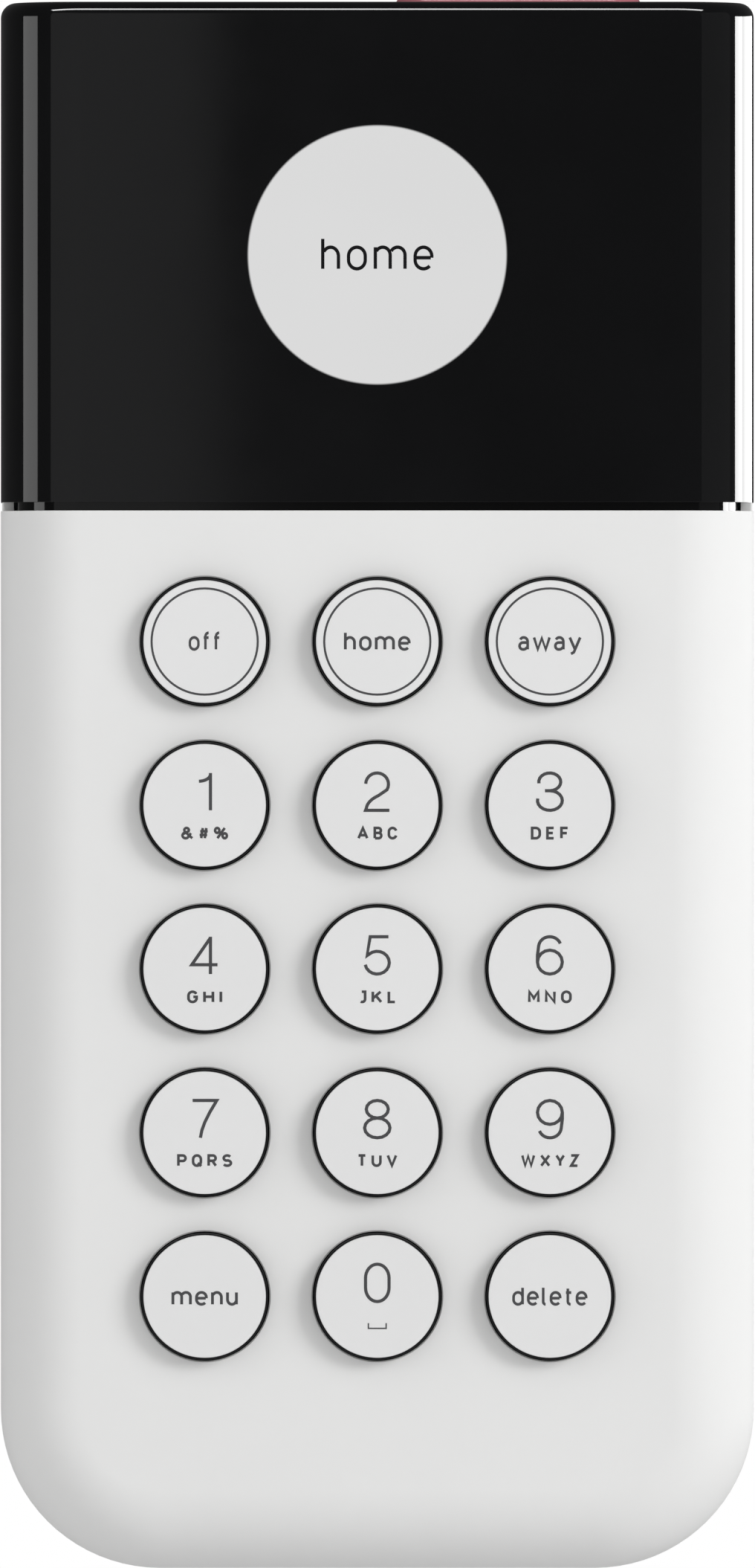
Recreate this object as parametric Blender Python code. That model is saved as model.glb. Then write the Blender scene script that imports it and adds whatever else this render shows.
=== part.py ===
"""Wall-mounted alarm keypad with a rocking display head, fifteen round keys and a lift-off wall plate.

Frame: metres, +Z up, the wall is the plane Y = 0 and the keypad faces -Y, +X is the viewer's right.
The origin is the centre of the wall plate's back face. "Depth" is the distance in front of the wall.
"""

import math

import bmesh
import bpy
from mathutils import Matrix, Vector

MM = 0.001

# Overall sizes
BODY_WIDTH = 70.0 * MM
HOUSING_HEIGHT = 98.2 * MM
HEAD_HEIGHT = 46.4 * MM
HEAD_GAP = 0.8 * MM
BODY_HEIGHT = HOUSING_HEIGHT + HEAD_GAP + HEAD_HEIGHT
BOTTOM_CORNER_RADIUS = 14.8 * MM
TOP_CORNER_RADIUS = 1.4 * MM
FRONT_ROUNDOVER = 7.5 * MM
BACK_ROUNDOVER = 1.6 * MM

# Wall thicknesses
FRONT_WALL = 2.0 * MM
FRONT_RIM_WALL = 1.3 * MM
HEAD_WALL = 1.0 * MM
REAR_WALL = 1.1 * MM
BACK_WALL = 1.4 * MM
COLLAR_WALL = 1.2 * MM

# Clearances
FIT_GAP = 0.3 * MM
PARTING_GAP = 0.3 * MM
KEY_GAP = 0.15 * MM
FLANGE_GAP = 0.2 * MM
PIN_GAP = 0.25 * MM
ROCKING_GAP = 0.75 * MM
TONGUE_INSET = 1.7 * MM
TONGUE_WALL = 0.9 * MM
TONGUE_RISE = 2.6 * MM
COLLAR_INSET = 1.6 * MM
COLLAR_LAP = 3.5 * MM

# Wall plate and its hooks
PLATE_THICKNESS = 1.8 * MM
PLATE_INSET = 3.0 * MM
PLATE_SCREW_RADIUS = 2.2 * MM
PLATE_SCREW_HEAD_RADIUS = 4.2 * MM
PLATE_SCREW_DROP = 20.7 * MM
PAD_WIDTH = 24.0 * MM
PAD_HEIGHT = 30.0 * MM
PAD_POCKET = 0.9 * MM
PAD_Z = 26.0 * MM
HOOK_WIDTH = 8.0 * MM
HOOK_STEM = 3.0 * MM
HOOK_LIP = 5.0 * MM
HOOK_THICKNESS = 1.4 * MM
HOOK_X = 14.0 * MM
UPPER_HOOK_DROP = 17.7 * MM
LOWER_HOOK_RISE = 19.7 * MM
LIFT_TRAVEL = 8.0 * MM

# Batteries (AA)
CELL_DIAMETER = 14.5 * MM
CELL_LENGTH = 50.5 * MM
CELL_NIPPLE_RADIUS = 2.7 * MM
CELL_NIPPLE_HEIGHT = 1.0 * MM
CELL_COUNT = 4
BAY_WALL = 1.2 * MM
SPRING_HEIGHT = 3.2 * MM
SPRING_TURNS = 2.5
SPRING_WIRE_RADIUS = 0.4 * MM
SPRING_BASE_RADIUS = 4.6 * MM
SPRING_TOP_RADIUS = 2.4 * MM
CONTACT_THICKNESS = 0.4 * MM
CONTACT_SIZE = 9.0 * MM

# Keys
KEY_RADIUS = 5.85 * MM
KEY_PROUD = 1.4 * MM
KEY_EDGE = 0.25 * MM
KEY_TRAVEL = 0.8 * MM
KEY_FLANGE_WIDTH = 0.75 * MM
KEY_FLANGE_THICKNESS = 0.8 * MM
KEY_STEM_RADIUS = 2.0 * MM
KEY_COLUMN_PITCH = 16.0 * MM
KEY_ROW_PITCH = 15.17 * MM
KEY_FIRST_ROW_DROP = 12.15 * MM
KEY_ROWS = (
    ("key_off", "key_home", "key_away"),
    ("key_1", "key_2", "key_3"),
    ("key_4", "key_5", "key_6"),
    ("key_7", "key_8", "key_9"),
    ("key_menu", "key_0", "key_delete"),
)

# Boards behind the keys
BOARD_THICKNESS = 1.0 * MM
BOARD_SIDE_MARGIN = 3.5 * MM
BOARD_BOTTOM_MARGIN = 16.5 * MM
BOARD_TAB_WIDTH = 16.0 * MM
BOARD_TAB_HEIGHT = 5.8 * MM
SHEET_THICKNESS = 0.25 * MM
DOME_HEIGHT = 0.35 * MM
DOME_RADIUS = 2.8 * MM
GUIDE_THICKNESS = 0.8 * MM
GUIDE_SIDE_MARGIN = 5.5 * MM
SOUNDER_RADIUS = 6.5 * MM
SOUNDER_HEIGHT = 4.0 * MM
SHIELD_WIDTH = 15.0 * MM
SHIELD_HEIGHT = 12.0 * MM
SHIELD_THICKNESS = 2.4 * MM
ANTENNA_WIRE = 0.8 * MM
ANTENNA_LENGTH = 24.0 * MM
ANTENNA_HEIGHT = 3.8 * MM
CONNECTOR_WIDTH = 12.0 * MM
CONNECTOR_HEIGHT = 4.0 * MM
CONNECTOR_THICKNESS = 1.5 * MM

# Case screws
SCREW_HEAD_RADIUS = 2.0 * MM
SCREW_HEAD_HEIGHT = 1.3 * MM
SCREW_SHANK_RADIUS = 1.0 * MM
SCREW_LENGTH = 8.0 * MM
SCREW_CUP_HEIGHT = 2.1 * MM
SCREW_POST_RADIUS = 2.6 * MM
CASE_SCREW_X = 24.0 * MM
CASE_SCREW_RISE = 12.7 * MM
CHASSIS_SCREW_X = 27.0 * MM
CHASSIS_SCREW_DROP = 13.0 * MM

# Rocking head
ROCK_ANGLE = math.radians(0.5)
BASE_THICKNESS = 1.4 * MM
RING_LIFT = 0.9 * MM
SWITCH_SIZE = 5.0 * MM
SWITCH_HEIGHT = 2.3 * MM
SWITCH_PLUNGER = 0.6 * MM
SWITCH_PLUNGER_RADIUS = 1.2 * MM
SIDE_SWITCH_MARGIN = 10.0 * MM
END_SWITCH_MARGIN = 6.2 * MM
RING_WIDTH = 32.0 * MM
RING_BAR = 2.6 * MM
PIN_RADIUS = 1.0 * MM
PIN_LENGTH = 4.5 * MM
LUG_THICKNESS = 2.8 * MM
LUG_HALF_WIDTH = 2.6 * MM
LUG_REACH = 2.0 * MM
LUG_SPACE = 0.7 * MM
CARRIER_THICKNESS = 1.2 * MM
CARRIER_GAP = 1.5 * MM
PAD_RADIUS = 1.5 * MM
MODULE_SIZE = 30.0 * MM
MODULE_THICKNESS = 4.8 * MM
MODULE_STANDOFF = 4.2 * MM
DISPLAY_OFFSET = -0.3 * MM
DIFFUSER_RADIUS = 12.6 * MM
DIFFUSER_THICKNESS = 0.8 * MM
FLEX_WIDTH = 10.0 * MM
FLEX_THICKNESS = 0.3 * MM

# Panic button
PANIC_LENGTH = 22.7 * MM
PANIC_WIDTH = 8.0 * MM
PANIC_X = 13.1 * MM
PANIC_PROUD = 0.45 * MM
PANIC_TRAVEL = 0.5 * MM
PANIC_FLANGE = 0.9 * MM
PANIC_FLANGE_THICKNESS = 1.0 * MM
PANIC_STEM = 1.0 * MM
PANIC_SWITCH_SIZE = (12.0 * MM, 6.0 * MM, 2.2 * MM)

# Curve resolution
CORNER_STEPS = 6
ROUNDOVER_STEPS = 5
KEY_SIDES = 24
ROUND_SIDES = 20
SMALL_SIDES = 12

# Levels in front of the wall, from the plate forward
REAR_BACK = PLATE_THICKNESS + FIT_GAP
REAR_INSIDE = REAR_BACK + BACK_WALL
CELL_BACK = REAR_BACK
CELL_AXIS = CELL_BACK + CELL_DIAMETER / 2
BAY_FLOOR_BACK = CELL_BACK + CELL_DIAMETER + FIT_GAP
BAY_FLOOR_FRONT = BAY_FLOOR_BACK + BAY_WALL
BOARD_BACK = BAY_FLOOR_FRONT + FIT_GAP
BOARD_FRONT = BOARD_BACK + BOARD_THICKNESS
SHEET_BACK = BOARD_FRONT + FIT_GAP
DOME_TOP = SHEET_BACK + SHEET_THICKNESS + DOME_HEIGHT
GUIDE_BACK = DOME_TOP + FIT_GAP
GUIDE_FRONT = GUIDE_BACK + GUIDE_THICKNESS
FLANGE_BACK = GUIDE_FRONT + FLANGE_GAP + KEY_TRAVEL
FLANGE_FRONT = FLANGE_BACK + KEY_FLANGE_THICKNESS
FRONT_INSIDE = FLANGE_FRONT + FLANGE_GAP
FRONT_FACE = FRONT_INSIDE + FRONT_WALL
KEY_FACE = FRONT_FACE + KEY_PROUD
STEM_BACK = DOME_TOP + KEY_TRAVEL + FIT_GAP / 3
REAR_RIM = REAR_INSIDE + 5.5 * MM
FRONT_RIM = REAR_RIM + PARTING_GAP
HEAD_RIM = REAR_RIM + ROCKING_GAP
TONGUE_TOP = REAR_RIM + TONGUE_RISE
HOOK_LIP_BACK = REAR_INSIDE + FIT_GAP
HOOK_LIP_FRONT = HOOK_LIP_BACK + HOOK_THICKNESS
SCREW_CUP_TOP = REAR_INSIDE + SCREW_CUP_HEIGHT
BASE_BACK = SCREW_CUP_TOP + FIT_GAP
BASE_FRONT = BASE_BACK + BASE_THICKNESS
SWITCH_BACK = BASE_FRONT + FIT_GAP
SWITCH_TOP = SWITCH_BACK + SWITCH_HEIGHT + SWITCH_PLUNGER
PIVOT_DEPTH = SWITCH_BACK + RING_LIFT + RING_BAR / 2
CARRIER_BACK = PIVOT_DEPTH + RING_BAR / 2 + CARRIER_GAP
CARRIER_FRONT = CARRIER_BACK + CARRIER_THICKNESS
SIDE_SWITCH_REACH = BODY_WIDTH / 2 - SIDE_SWITCH_MARGIN
END_SWITCH_REACH = HEAD_HEIGHT / 2 - END_SWITCH_MARGIN
LUG_ROOM = END_SWITCH_REACH - SWITCH_SIZE / 2 - LUG_SPACE
RING_HEIGHT = 2 * (LUG_ROOM - LUG_THICKNESS - CARRIER_GAP)
PAD_TIP = SWITCH_TOP + SIDE_SWITCH_REACH * math.sin(ROCK_ANGLE) + FIT_GAP / 2
DIFFUSER_FRONT = FRONT_FACE - HEAD_WALL - FIT_GAP
DIFFUSER_BACK = DIFFUSER_FRONT - DIFFUSER_THICKNESS
MODULE_FRONT = DIFFUSER_BACK - FIT_GAP
MODULE_BACK = MODULE_FRONT - MODULE_THICKNESS

# Places across and up the face
HALF_WIDTH = BODY_WIDTH / 2
BODY_TOP = BODY_HEIGHT / 2
BODY_BOTTOM = -BODY_HEIGHT / 2
UPPER_HOOK_Z = BODY_TOP - UPPER_HOOK_DROP
LOWER_HOOK_Z = BODY_BOTTOM + LOWER_HOOK_RISE
PLATE_SCREW_Z = BODY_TOP - PLATE_SCREW_DROP
KEY_FLANGE_RADIUS = KEY_RADIUS + KEY_FLANGE_WIDTH
HEAD_BOTTOM = BODY_TOP - HEAD_HEIGHT
FRONT_TOP = HEAD_BOTTOM - HEAD_GAP
HEAD_CENTRE = (BODY_TOP + HEAD_BOTTOM) / 2
DISPLAY_CENTRE = HEAD_CENTRE + DISPLAY_OFFSET
FIRST_ROW_Z = FRONT_TOP - KEY_FIRST_ROW_DROP
COLLAR_BOTTOM = FRONT_TOP - COLLAR_LAP
COLLAR_TOP = HEAD_BOTTOM + COLLAR_LAP
BAY_TOP = COLLAR_BOTTOM - 2 * FIT_GAP
BAY_LENGTH = CELL_LENGTH + SPRING_HEIGHT + CONTACT_THICKNESS + 4 * FIT_GAP
BAY_INNER_TOP = BAY_TOP - BAY_WALL
BAY_INNER_BOTTOM = BAY_INNER_TOP - BAY_LENGTH
CELL_PITCH = CELL_DIAMETER + FIT_GAP
BAY_HALF_WIDTH = (CELL_COUNT * CELL_PITCH + FIT_GAP) / 2
BOARD_TOP = COLLAR_BOTTOM - FIT_GAP
BOARD_BOTTOM = BODY_BOTTOM + BOARD_BOTTOM_MARGIN
CASE_SCREW_Z = BODY_BOTTOM + CASE_SCREW_RISE
CHASSIS_SCREW_Z = HEAD_CENTRE - CHASSIS_SCREW_DROP
PANIC_DEPTH = (TONGUE_TOP + FRONT_FACE - HEAD_WALL) / 2
PANIC_SWITCH_DEPTH = max(PANIC_DEPTH, CARRIER_FRONT + FIT_GAP + PANIC_SWITCH_SIZE[1] / 2)
HEAD_INSIDE_TOP = BODY_TOP - HEAD_WALL
PANIC_FLANGE_TOP = HEAD_INSIDE_TOP - FIT_GAP
PANIC_STEM_BOTTOM = PANIC_FLANGE_TOP - PANIC_FLANGE_THICKNESS - PANIC_STEM


# ---------------------------------------------------------------- outlines

def arc(centre_x, centre_y, radius, start, end, steps):
    """Points on an arc, in degrees, both ends included."""
    points = []
    for step in range(steps + 1):
        angle = math.radians(start + (end - start) * step / steps)
        points.append((centre_x + radius * math.cos(angle), centre_y + radius * math.sin(angle)))
    return points


def rounded_rectangle(low, high, radii, steps=CORNER_STEPS):
    """Counter-clockwise outline; radii are those of the corners: low-low, high-low, high-high, low-high."""
    corners = (
        (low[0], low[1], 1, 1, 180),
        (high[0], low[1], -1, 1, 270),
        (high[0], high[1], -1, -1, 0),
        (low[0], high[1], 1, -1, 90),
    )
    points = []
    for (x, y, side_x, side_y, start), radius in zip(corners, radii):
        points += arc(x + side_x * radius, y + side_y * radius, radius, start, start + 90, steps)
    return points


def circle(centre_x, centre_y, radius, sides):
    return arc(centre_x, centre_y, radius, 0, 360 * (sides - 1) / sides, sides - 1)


def body_outline(inset, low, high, top_radius):
    """The face's outline seen from the front, moved in by the inset at its sides and bottom."""
    bottom_radius = BOTTOM_CORNER_RADIUS - inset
    return rounded_rectangle(
        (-HALF_WIDTH + inset, low + inset),
        (HALF_WIDTH - inset, high),
        (bottom_radius, bottom_radius, top_radius, top_radius),
    )


def plan_outline(inset, back, back_inset=0.0, back_radius=0.2 * MM):
    """The head's outline seen from above: x and depth, with the rounded front edges."""
    radius = FRONT_ROUNDOVER - inset
    return rounded_rectangle(
        (-HALF_WIDTH + inset, back + back_inset),
        (HALF_WIDTH - inset, FRONT_FACE - inset),
        (back_radius, back_radius, radius, radius),
    )


# ---------------------------------------------------------------- solids

def loft(rings):
    """A closed solid through rings of equal length, with flat ends."""
    solid = bmesh.new()
    rows = [[solid.verts.new(point) for point in ring] for ring in rings]
    for lower, upper in zip(rows, rows[1:]):
        for index in range(len(lower)):
            following = (index + 1) % len(lower)
            solid.faces.new((lower[index], lower[following], upper[following], upper[index]))
    solid.faces.new(rows[0])
    solid.faces.new(rows[-1])
    bmesh.ops.recalc_face_normals(solid, faces=solid.faces)
    return solid


def facing(outline, depth):
    """An outline in x and z, placed at a depth in front of the wall."""
    return [Vector((x, -depth, z)) for x, z in outline]


def standing(outline, z):
    """An outline in x and depth, placed at a height."""
    return [Vector((x, -depth, z)) for x, depth in outline]


def slab(outline, back, front):
    """The outline in x and z, from one depth to another."""
    return loft([facing(outline, back), facing(outline, front)])


def column(outline, bottom, top):
    """The outline in x and depth, from one height to another."""
    return loft([standing(outline, bottom), standing(outline, top)])


def block(low, high):
    """A box from (x, depth, z) to (x, depth, z)."""
    outline = [(low[0], low[2]), (high[0], low[2]), (high[0], high[2]), (low[0], high[2])]
    return slab(outline, low[1], high[1])


def disc(x, z, radius, back, front, sides=ROUND_SIDES):
    return slab(circle(x, z, radius, sides), back, front)


def turned(profile, sides):
    """A solid turned about the depth axis at x = z = 0, through (radius, depth) from back to front."""
    return loft([facing(circle(0, 0, radius, sides), depth) for radius, depth in profile])


def pin_along_x(x_start, x_end, depth, z, radius, sides=SMALL_SIDES):
    ring = circle(depth, z, radius, sides)
    return loft([[Vector((x, -a, b)) for a, b in ring] for x in (x_start, x_end)])


def pin_along_z(x, depth, z_start, z_end, radius, sides=SMALL_SIDES):
    return column(circle(x, depth, radius, sides), z_start, z_end)


def moved(solid, x=0.0, depth=0.0, z=0.0):
    bmesh.ops.translate(solid, vec=Vector((x, -depth, z)), verts=solid.verts)
    return solid


def mesh_from(name, solid):
    mesh = bpy.data.meshes.new(name)
    solid.to_mesh(mesh)
    solid.free()
    return mesh


def combined(solid, tool, operation):
    """The two solids joined or cut with a Boolean, as a new solid."""
    target = bpy.data.objects.new("target", mesh_from("target", solid))
    other = bpy.data.objects.new("tool", mesh_from("tool", tool))
    for item in (target, other):
        bpy.context.collection.objects.link(item)
    modifier = target.modifiers.new("combine", "BOOLEAN")
    modifier.object = other
    modifier.operation = operation
    modifier.solver = "EXACT"
    depsgraph = bpy.context.evaluated_depsgraph_get()
    result = bmesh.new()
    result.from_object(target, depsgraph)
    for item in (target, other):
        mesh = item.data
        bpy.data.objects.remove(item)
        bpy.data.meshes.remove(mesh)
    bmesh.ops.remove_doubles(result, verts=result.verts, dist=0.002 * MM)
    return result


def minus(solid, *tools):
    for tool in tools:
        solid = combined(solid, tool, "DIFFERENCE")
    return solid


def plus(solid, *tools):
    for tool in tools:
        solid = combined(solid, tool, "UNION")
    return solid


def together(solids):
    """Solids that don't touch each other, as one tool for a single cut."""
    joined = bmesh.new()
    for solid in solids:
        mesh = mesh_from("piece", solid)
        joined.from_mesh(mesh)
        bpy.data.meshes.remove(mesh)
    return joined


# ---------------------------------------------------------------- objects

def material(name, colour, roughness, metallic=0.0):
    finish = bpy.data.materials.new(name)
    finish.use_nodes = True
    shader = finish.node_tree.nodes["Principled BSDF"]
    shader.inputs["Base Color"].default_value = (*colour, 1.0)
    shader.inputs["Roughness"].default_value = roughness
    shader.inputs["Metallic"].default_value = metallic
    finish.diffuse_color = (*colour, 1.0)
    return finish


def part(name, solid, look, parent=None, origin=None):
    """One named sub-part. The origin is a world point that the object's own origin moves to."""
    if origin is not None:
        bmesh.ops.translate(solid, vec=-origin, verts=solid.verts)
    mesh = mesh_from(name, solid)
    mesh.shade_smooth()
    mesh.set_sharp_from_angle(angle=math.radians(35))
    mesh.materials.append(material(name, *look))
    item = bpy.data.objects.new(name, mesh)
    bpy.context.collection.objects.link(item)
    place = origin if origin is not None else Vector((0, 0, 0))
    item.location = place
    if parent is not None:
        item.parent = parent
        item.matrix_parent_inverse = Matrix.Translation(parent.location).inverted()
    return item


def pivot(name, x, depth, z):
    empty = bpy.data.objects.new(name, None)
    empty.location = (x, -depth, z)
    empty.empty_display_size = 5 * MM
    bpy.context.collection.objects.link(empty)
    return empty


WHITE_PLASTIC = ((0.80, 0.80, 0.79), 0.42)
BLACK_GLOSS = ((0.012, 0.012, 0.013), 0.06)
BLACK_PLASTIC = ((0.03, 0.03, 0.032), 0.45)
GREY_PLASTIC = ((0.35, 0.35, 0.36), 0.5)
KEY_WHITE = ((0.78, 0.78, 0.78), 0.4)
RED_PLASTIC = ((0.45, 0.05, 0.06), 0.3)
STEEL = ((0.62, 0.62, 0.63), 0.3, 1.0)
BOARD_GREEN = ((0.03, 0.20, 0.09), 0.4)
CLEAR_PLASTIC = ((0.85, 0.87, 0.88), 0.15)
FOAM_GREY = ((0.55, 0.55, 0.55), 0.9)
COPPER_FILM = ((0.55, 0.30, 0.10), 0.35)
CELL_SLEEVE = ((0.10, 0.11, 0.13), 0.3)


# ---------------------------------------------------------------- wall plate

def hook_places():
    """The x and the stem's underside z of each hook."""
    return [(side * HOOK_X, z) for side in (-1, 1) for z in (UPPER_HOOK_Z, LOWER_HOOK_Z)]


def hook(x, z):
    half = HOOK_WIDTH / 2
    overlap = PLATE_THICKNESS / 3
    stem = block((x - half, PLATE_THICKNESS - overlap, z), (x + half, HOOK_LIP_FRONT, z + HOOK_STEM))
    lip_low = (x - half, HOOK_LIP_BACK, z + HOOK_STEM / 2)
    lip_high = (x + half, HOOK_LIP_FRONT, z + HOOK_STEM + HOOK_LIP)
    return plus(stem, block(lip_low, lip_high))


def countersunk_hole(x, z):
    taper = PLATE_SCREW_HEAD_RADIUS - PLATE_SCREW_RADIUS
    spare = FIT_GAP
    profile = [
        (PLATE_SCREW_RADIUS, -spare),
        (PLATE_SCREW_RADIUS, PLATE_THICKNESS - taper * 0.7),
        (PLATE_SCREW_HEAD_RADIUS, PLATE_THICKNESS),
        (PLATE_SCREW_HEAD_RADIUS, PLATE_THICKNESS + spare),
    ]
    return moved(turned(profile, ROUND_SIDES), x=x, z=z)


def make_wall_plate():
    outline = rounded_rectangle(
        (-HALF_WIDTH + PLATE_INSET, BODY_BOTTOM + PLATE_INSET),
        (HALF_WIDTH - PLATE_INSET, BODY_TOP - PLATE_INSET),
        (
            BOTTOM_CORNER_RADIUS - PLATE_INSET,
            BOTTOM_CORNER_RADIUS - PLATE_INSET,
            PLATE_INSET,
            PLATE_INSET,
        ),
    )
    plate = slab(outline, 0.0, PLATE_THICKNESS)
    plate = plus(plate, together([hook(x, z) for x, z in hook_places()]))
    holes = [countersunk_hole(0.0, side * PLATE_SCREW_Z) for side in (-1, 1)]
    pockets = [pad_solid(side, FIT_GAP, -FIT_GAP, PAD_POCKET) for side in (-1, 1)]
    plate = minus(plate, together(holes), together(pockets))
    part("wall_plate", plate, WHITE_PLASTIC)


def pad_solid(side, growth, back, front):
    half_width = PAD_WIDTH / 2 + growth
    half_height = PAD_HEIGHT / 2 + growth
    outline = rounded_rectangle(
        (-half_width, side * PAD_Z - half_height),
        (half_width, side * PAD_Z + half_height),
        (2 * MM,) * 4,
        3,
    )
    return slab(outline, back, front)


def make_adhesive_pads():
    for name, side in (("adhesive_pad_upper", 1), ("adhesive_pad_lower", -1)):
        part(name, pad_solid(side, 0.0, 0.05 * MM, PAD_POCKET - FIT_GAP), FOAM_GREY)


# ---------------------------------------------------------------- rear housing

def screw_places():
    case = [(side * CASE_SCREW_X, CASE_SCREW_Z) for side in (-1, 1)]
    chassis = [(side * CHASSIS_SCREW_X, CHASSIS_SCREW_Z) for side in (-1, 1)]
    return case + chassis


def rear_shell():
    """The white tray: rounded back edge, open at the front."""
    rings = []
    for step in range(4):
        angle = math.radians(90 * step / 3)
        inset = BACK_ROUNDOVER * (1 - math.sin(angle))
        depth = REAR_BACK + BACK_ROUNDOVER * (1 - math.cos(angle))
        rings.append(facing(tray_outline(inset), depth))
    rings.append(facing(tray_outline(0.0), REAR_RIM))
    hollow = slab(tray_outline(REAR_WALL), REAR_INSIDE, REAR_RIM + FIT_GAP)
    return minus(loft(rings), hollow)


def tray_outline(inset):
    bottom = BOTTOM_CORNER_RADIUS - inset
    top = max(TOP_CORNER_RADIUS + BACK_ROUNDOVER - inset, TOP_CORNER_RADIUS / 2)
    return rounded_rectangle(
        (-HALF_WIDTH + inset, BODY_BOTTOM + inset),
        (HALF_WIDTH - inset, BODY_TOP - inset),
        (bottom, bottom, top, top),
    )


def head_tongue():
    """A low wall that follows the tray's left, top and right sides and stands up inside the head's rim."""
    outer = tray_outline(TONGUE_INSET)
    inner = tray_outline(TONGUE_INSET + TONGUE_WALL)
    ring = slab(outer, REAR_INSIDE - BACK_WALL / 2, TONGUE_TOP)
    ring = minus(ring, slab(inner, REAR_BACK, TONGUE_TOP + MM))
    low = (-BODY_WIDTH, REAR_BACK, 2 * BODY_BOTTOM)
    high = (BODY_WIDTH, TONGUE_TOP + MM, COLLAR_TOP + FIT_GAP)
    return minus(ring, block(low, high))


def battery_bay_walls():
    low = (-BAY_HALF_WIDTH - BAY_WALL, REAR_INSIDE - BACK_WALL / 2, BAY_INNER_BOTTOM - BAY_WALL)
    high = (BAY_HALF_WIDTH + BAY_WALL, BAY_FLOOR_FRONT, BAY_TOP)
    return block(low, high)


def battery_bay_space():
    low = (-BAY_HALF_WIDTH, REAR_BACK - FIT_GAP, BAY_INNER_BOTTOM)
    high = (BAY_HALF_WIDTH, BAY_FLOOR_BACK, BAY_INNER_TOP)
    return block(low, high)


def screw_cup(x, z):
    radius = SCREW_HEAD_RADIUS + FIT_GAP + BACK_WALL
    return disc(x, z, radius, REAR_INSIDE - BACK_WALL / 2, SCREW_CUP_TOP)


def screw_hole(x, z):
    """Counterbore for the head and a hole for the shank, cut from the back."""
    head_radius = SCREW_HEAD_RADIUS + FIT_GAP
    shank_radius = SCREW_SHANK_RADIUS + FIT_GAP
    shoulder = REAR_BACK + SCREW_HEAD_HEIGHT + 2 * FIT_GAP
    profile = [
        (head_radius, REAR_BACK - FIT_GAP),
        (head_radius, shoulder),
        (shank_radius, shoulder),
        (shank_radius, SCREW_CUP_TOP + FIT_GAP),
    ]
    return moved(turned(profile, ROUND_SIDES), x=x, z=z)


def hook_slot(x, z):
    """Room for the hook's stem all the way up as the keypad is lifted by its travel."""
    half = HOOK_WIDTH / 2 + FIT_GAP
    low = (x - half, REAR_BACK - FIT_GAP, z - LIFT_TRAVEL - FIT_GAP)
    high = (x + half, REAR_INSIDE + FIT_GAP, z + HOOK_STEM + FIT_GAP)
    return block(low, high)


def make_rear_housing():
    shell = rear_shell()
    shell = plus(shell, battery_bay_walls(), head_tongue())
    shell = plus(shell, together([screw_cup(x, z) for x, z in screw_places()]))
    shell = minus(shell, battery_bay_space())
    shell = minus(shell, together([screw_hole(x, z) for x, z in screw_places()]))
    shell = minus(shell, together([hook_slot(x, z) for x, z in hook_places()]))
    return shell


# ---------------------------------------------------------------- front housing

def front_shell():
    rings = [facing(body_outline(0.0, BODY_BOTTOM, FRONT_TOP, 0.2 * MM), FRONT_RIM)]
    for step in range(ROUNDOVER_STEPS + 1):
        angle = math.radians(90 * step / ROUNDOVER_STEPS)
        inset = FRONT_ROUNDOVER * (1 - math.cos(angle))
        depth = FRONT_FACE - FRONT_ROUNDOVER * (1 - math.sin(angle))
        rings.append(facing(body_outline(inset, BODY_BOTTOM, FRONT_TOP, 0.2 * MM), depth))
    return loft(rings)


def front_hollow():
    """The space inside, open at the back and at the top."""
    above = FRONT_TOP + 2 * MM
    inner_round = FRONT_ROUNDOVER - FRONT_WALL
    rings = [facing(body_outline(FRONT_WALL, BODY_BOTTOM, above, 0.2 * MM), FRONT_RIM - FIT_GAP)]
    for step in range(ROUNDOVER_STEPS + 1):
        angle = math.radians(90 * step / ROUNDOVER_STEPS)
        inset = FRONT_WALL + inner_round * (1 - math.cos(angle))
        depth = FRONT_INSIDE - inner_round * (1 - math.sin(angle))
        rings.append(facing(body_outline(inset, BODY_BOTTOM, above, 0.2 * MM), depth))
    return loft(rings)


def key_places():
    """Name, x and z of each key."""
    places = []
    for row, names in enumerate(KEY_ROWS):
        for col, name in enumerate(names):
            places.append((name, (col - 1) * KEY_COLUMN_PITCH, FIRST_ROW_Z - row * KEY_ROW_PITCH))
    return places


def case_screw_post(x, z):
    return disc(x, z, SCREW_POST_RADIUS, SCREW_CUP_TOP + FIT_GAP, FRONT_INSIDE + FRONT_WALL / 4)


def screw_bore(x, z):
    """Blind bore for a screw that starts behind the cup."""
    end = REAR_BACK + FIT_GAP + SCREW_HEAD_HEIGHT + SCREW_LENGTH + 2 * FIT_GAP
    return disc(x, z, SCREW_SHANK_RADIUS + FIT_GAP, SCREW_CUP_TOP, end, SMALL_SIDES)


def make_front_housing():
    shell = minus(front_shell(), front_hollow())
    rim_space = column(plan_outline(FRONT_RIM_WALL, FRONT_RIM, -FIT_GAP), COLLAR_BOTTOM - FIT_GAP,
                       FRONT_TOP + FIT_GAP)
    shell = minus(shell, rim_space)
    places = screw_places()[:2]
    shell = plus(shell, together([case_screw_post(x, z) for x, z in places]))
    shell = minus(shell, together([screw_bore(x, z) for x, z in places]))
    hole_radius = KEY_RADIUS + KEY_GAP
    back = FRONT_INSIDE - FIT_GAP
    front = FRONT_FACE + FIT_GAP
    holes = [disc(x, z, hole_radius, back, front, KEY_SIDES) for _, x, z in key_places()]
    return minus(shell, together(holes))


# ---------------------------------------------------------------- keys and boards

def make_key(name, x, z, parent):
    profile = [
        (KEY_STEM_RADIUS, STEM_BACK),
        (KEY_STEM_RADIUS, FLANGE_BACK),
        (KEY_FLANGE_RADIUS, FLANGE_BACK),
        (KEY_FLANGE_RADIUS, FLANGE_FRONT),
        (KEY_RADIUS, FLANGE_FRONT),
        (KEY_RADIUS, KEY_FACE - KEY_EDGE),
        (KEY_RADIUS - KEY_EDGE, KEY_FACE),
    ]
    solid = moved(turned(profile, KEY_SIDES), x=x, z=z)
    return part(name, solid, KEY_WHITE, parent, Vector((x, -KEY_FACE, z)))


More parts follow.
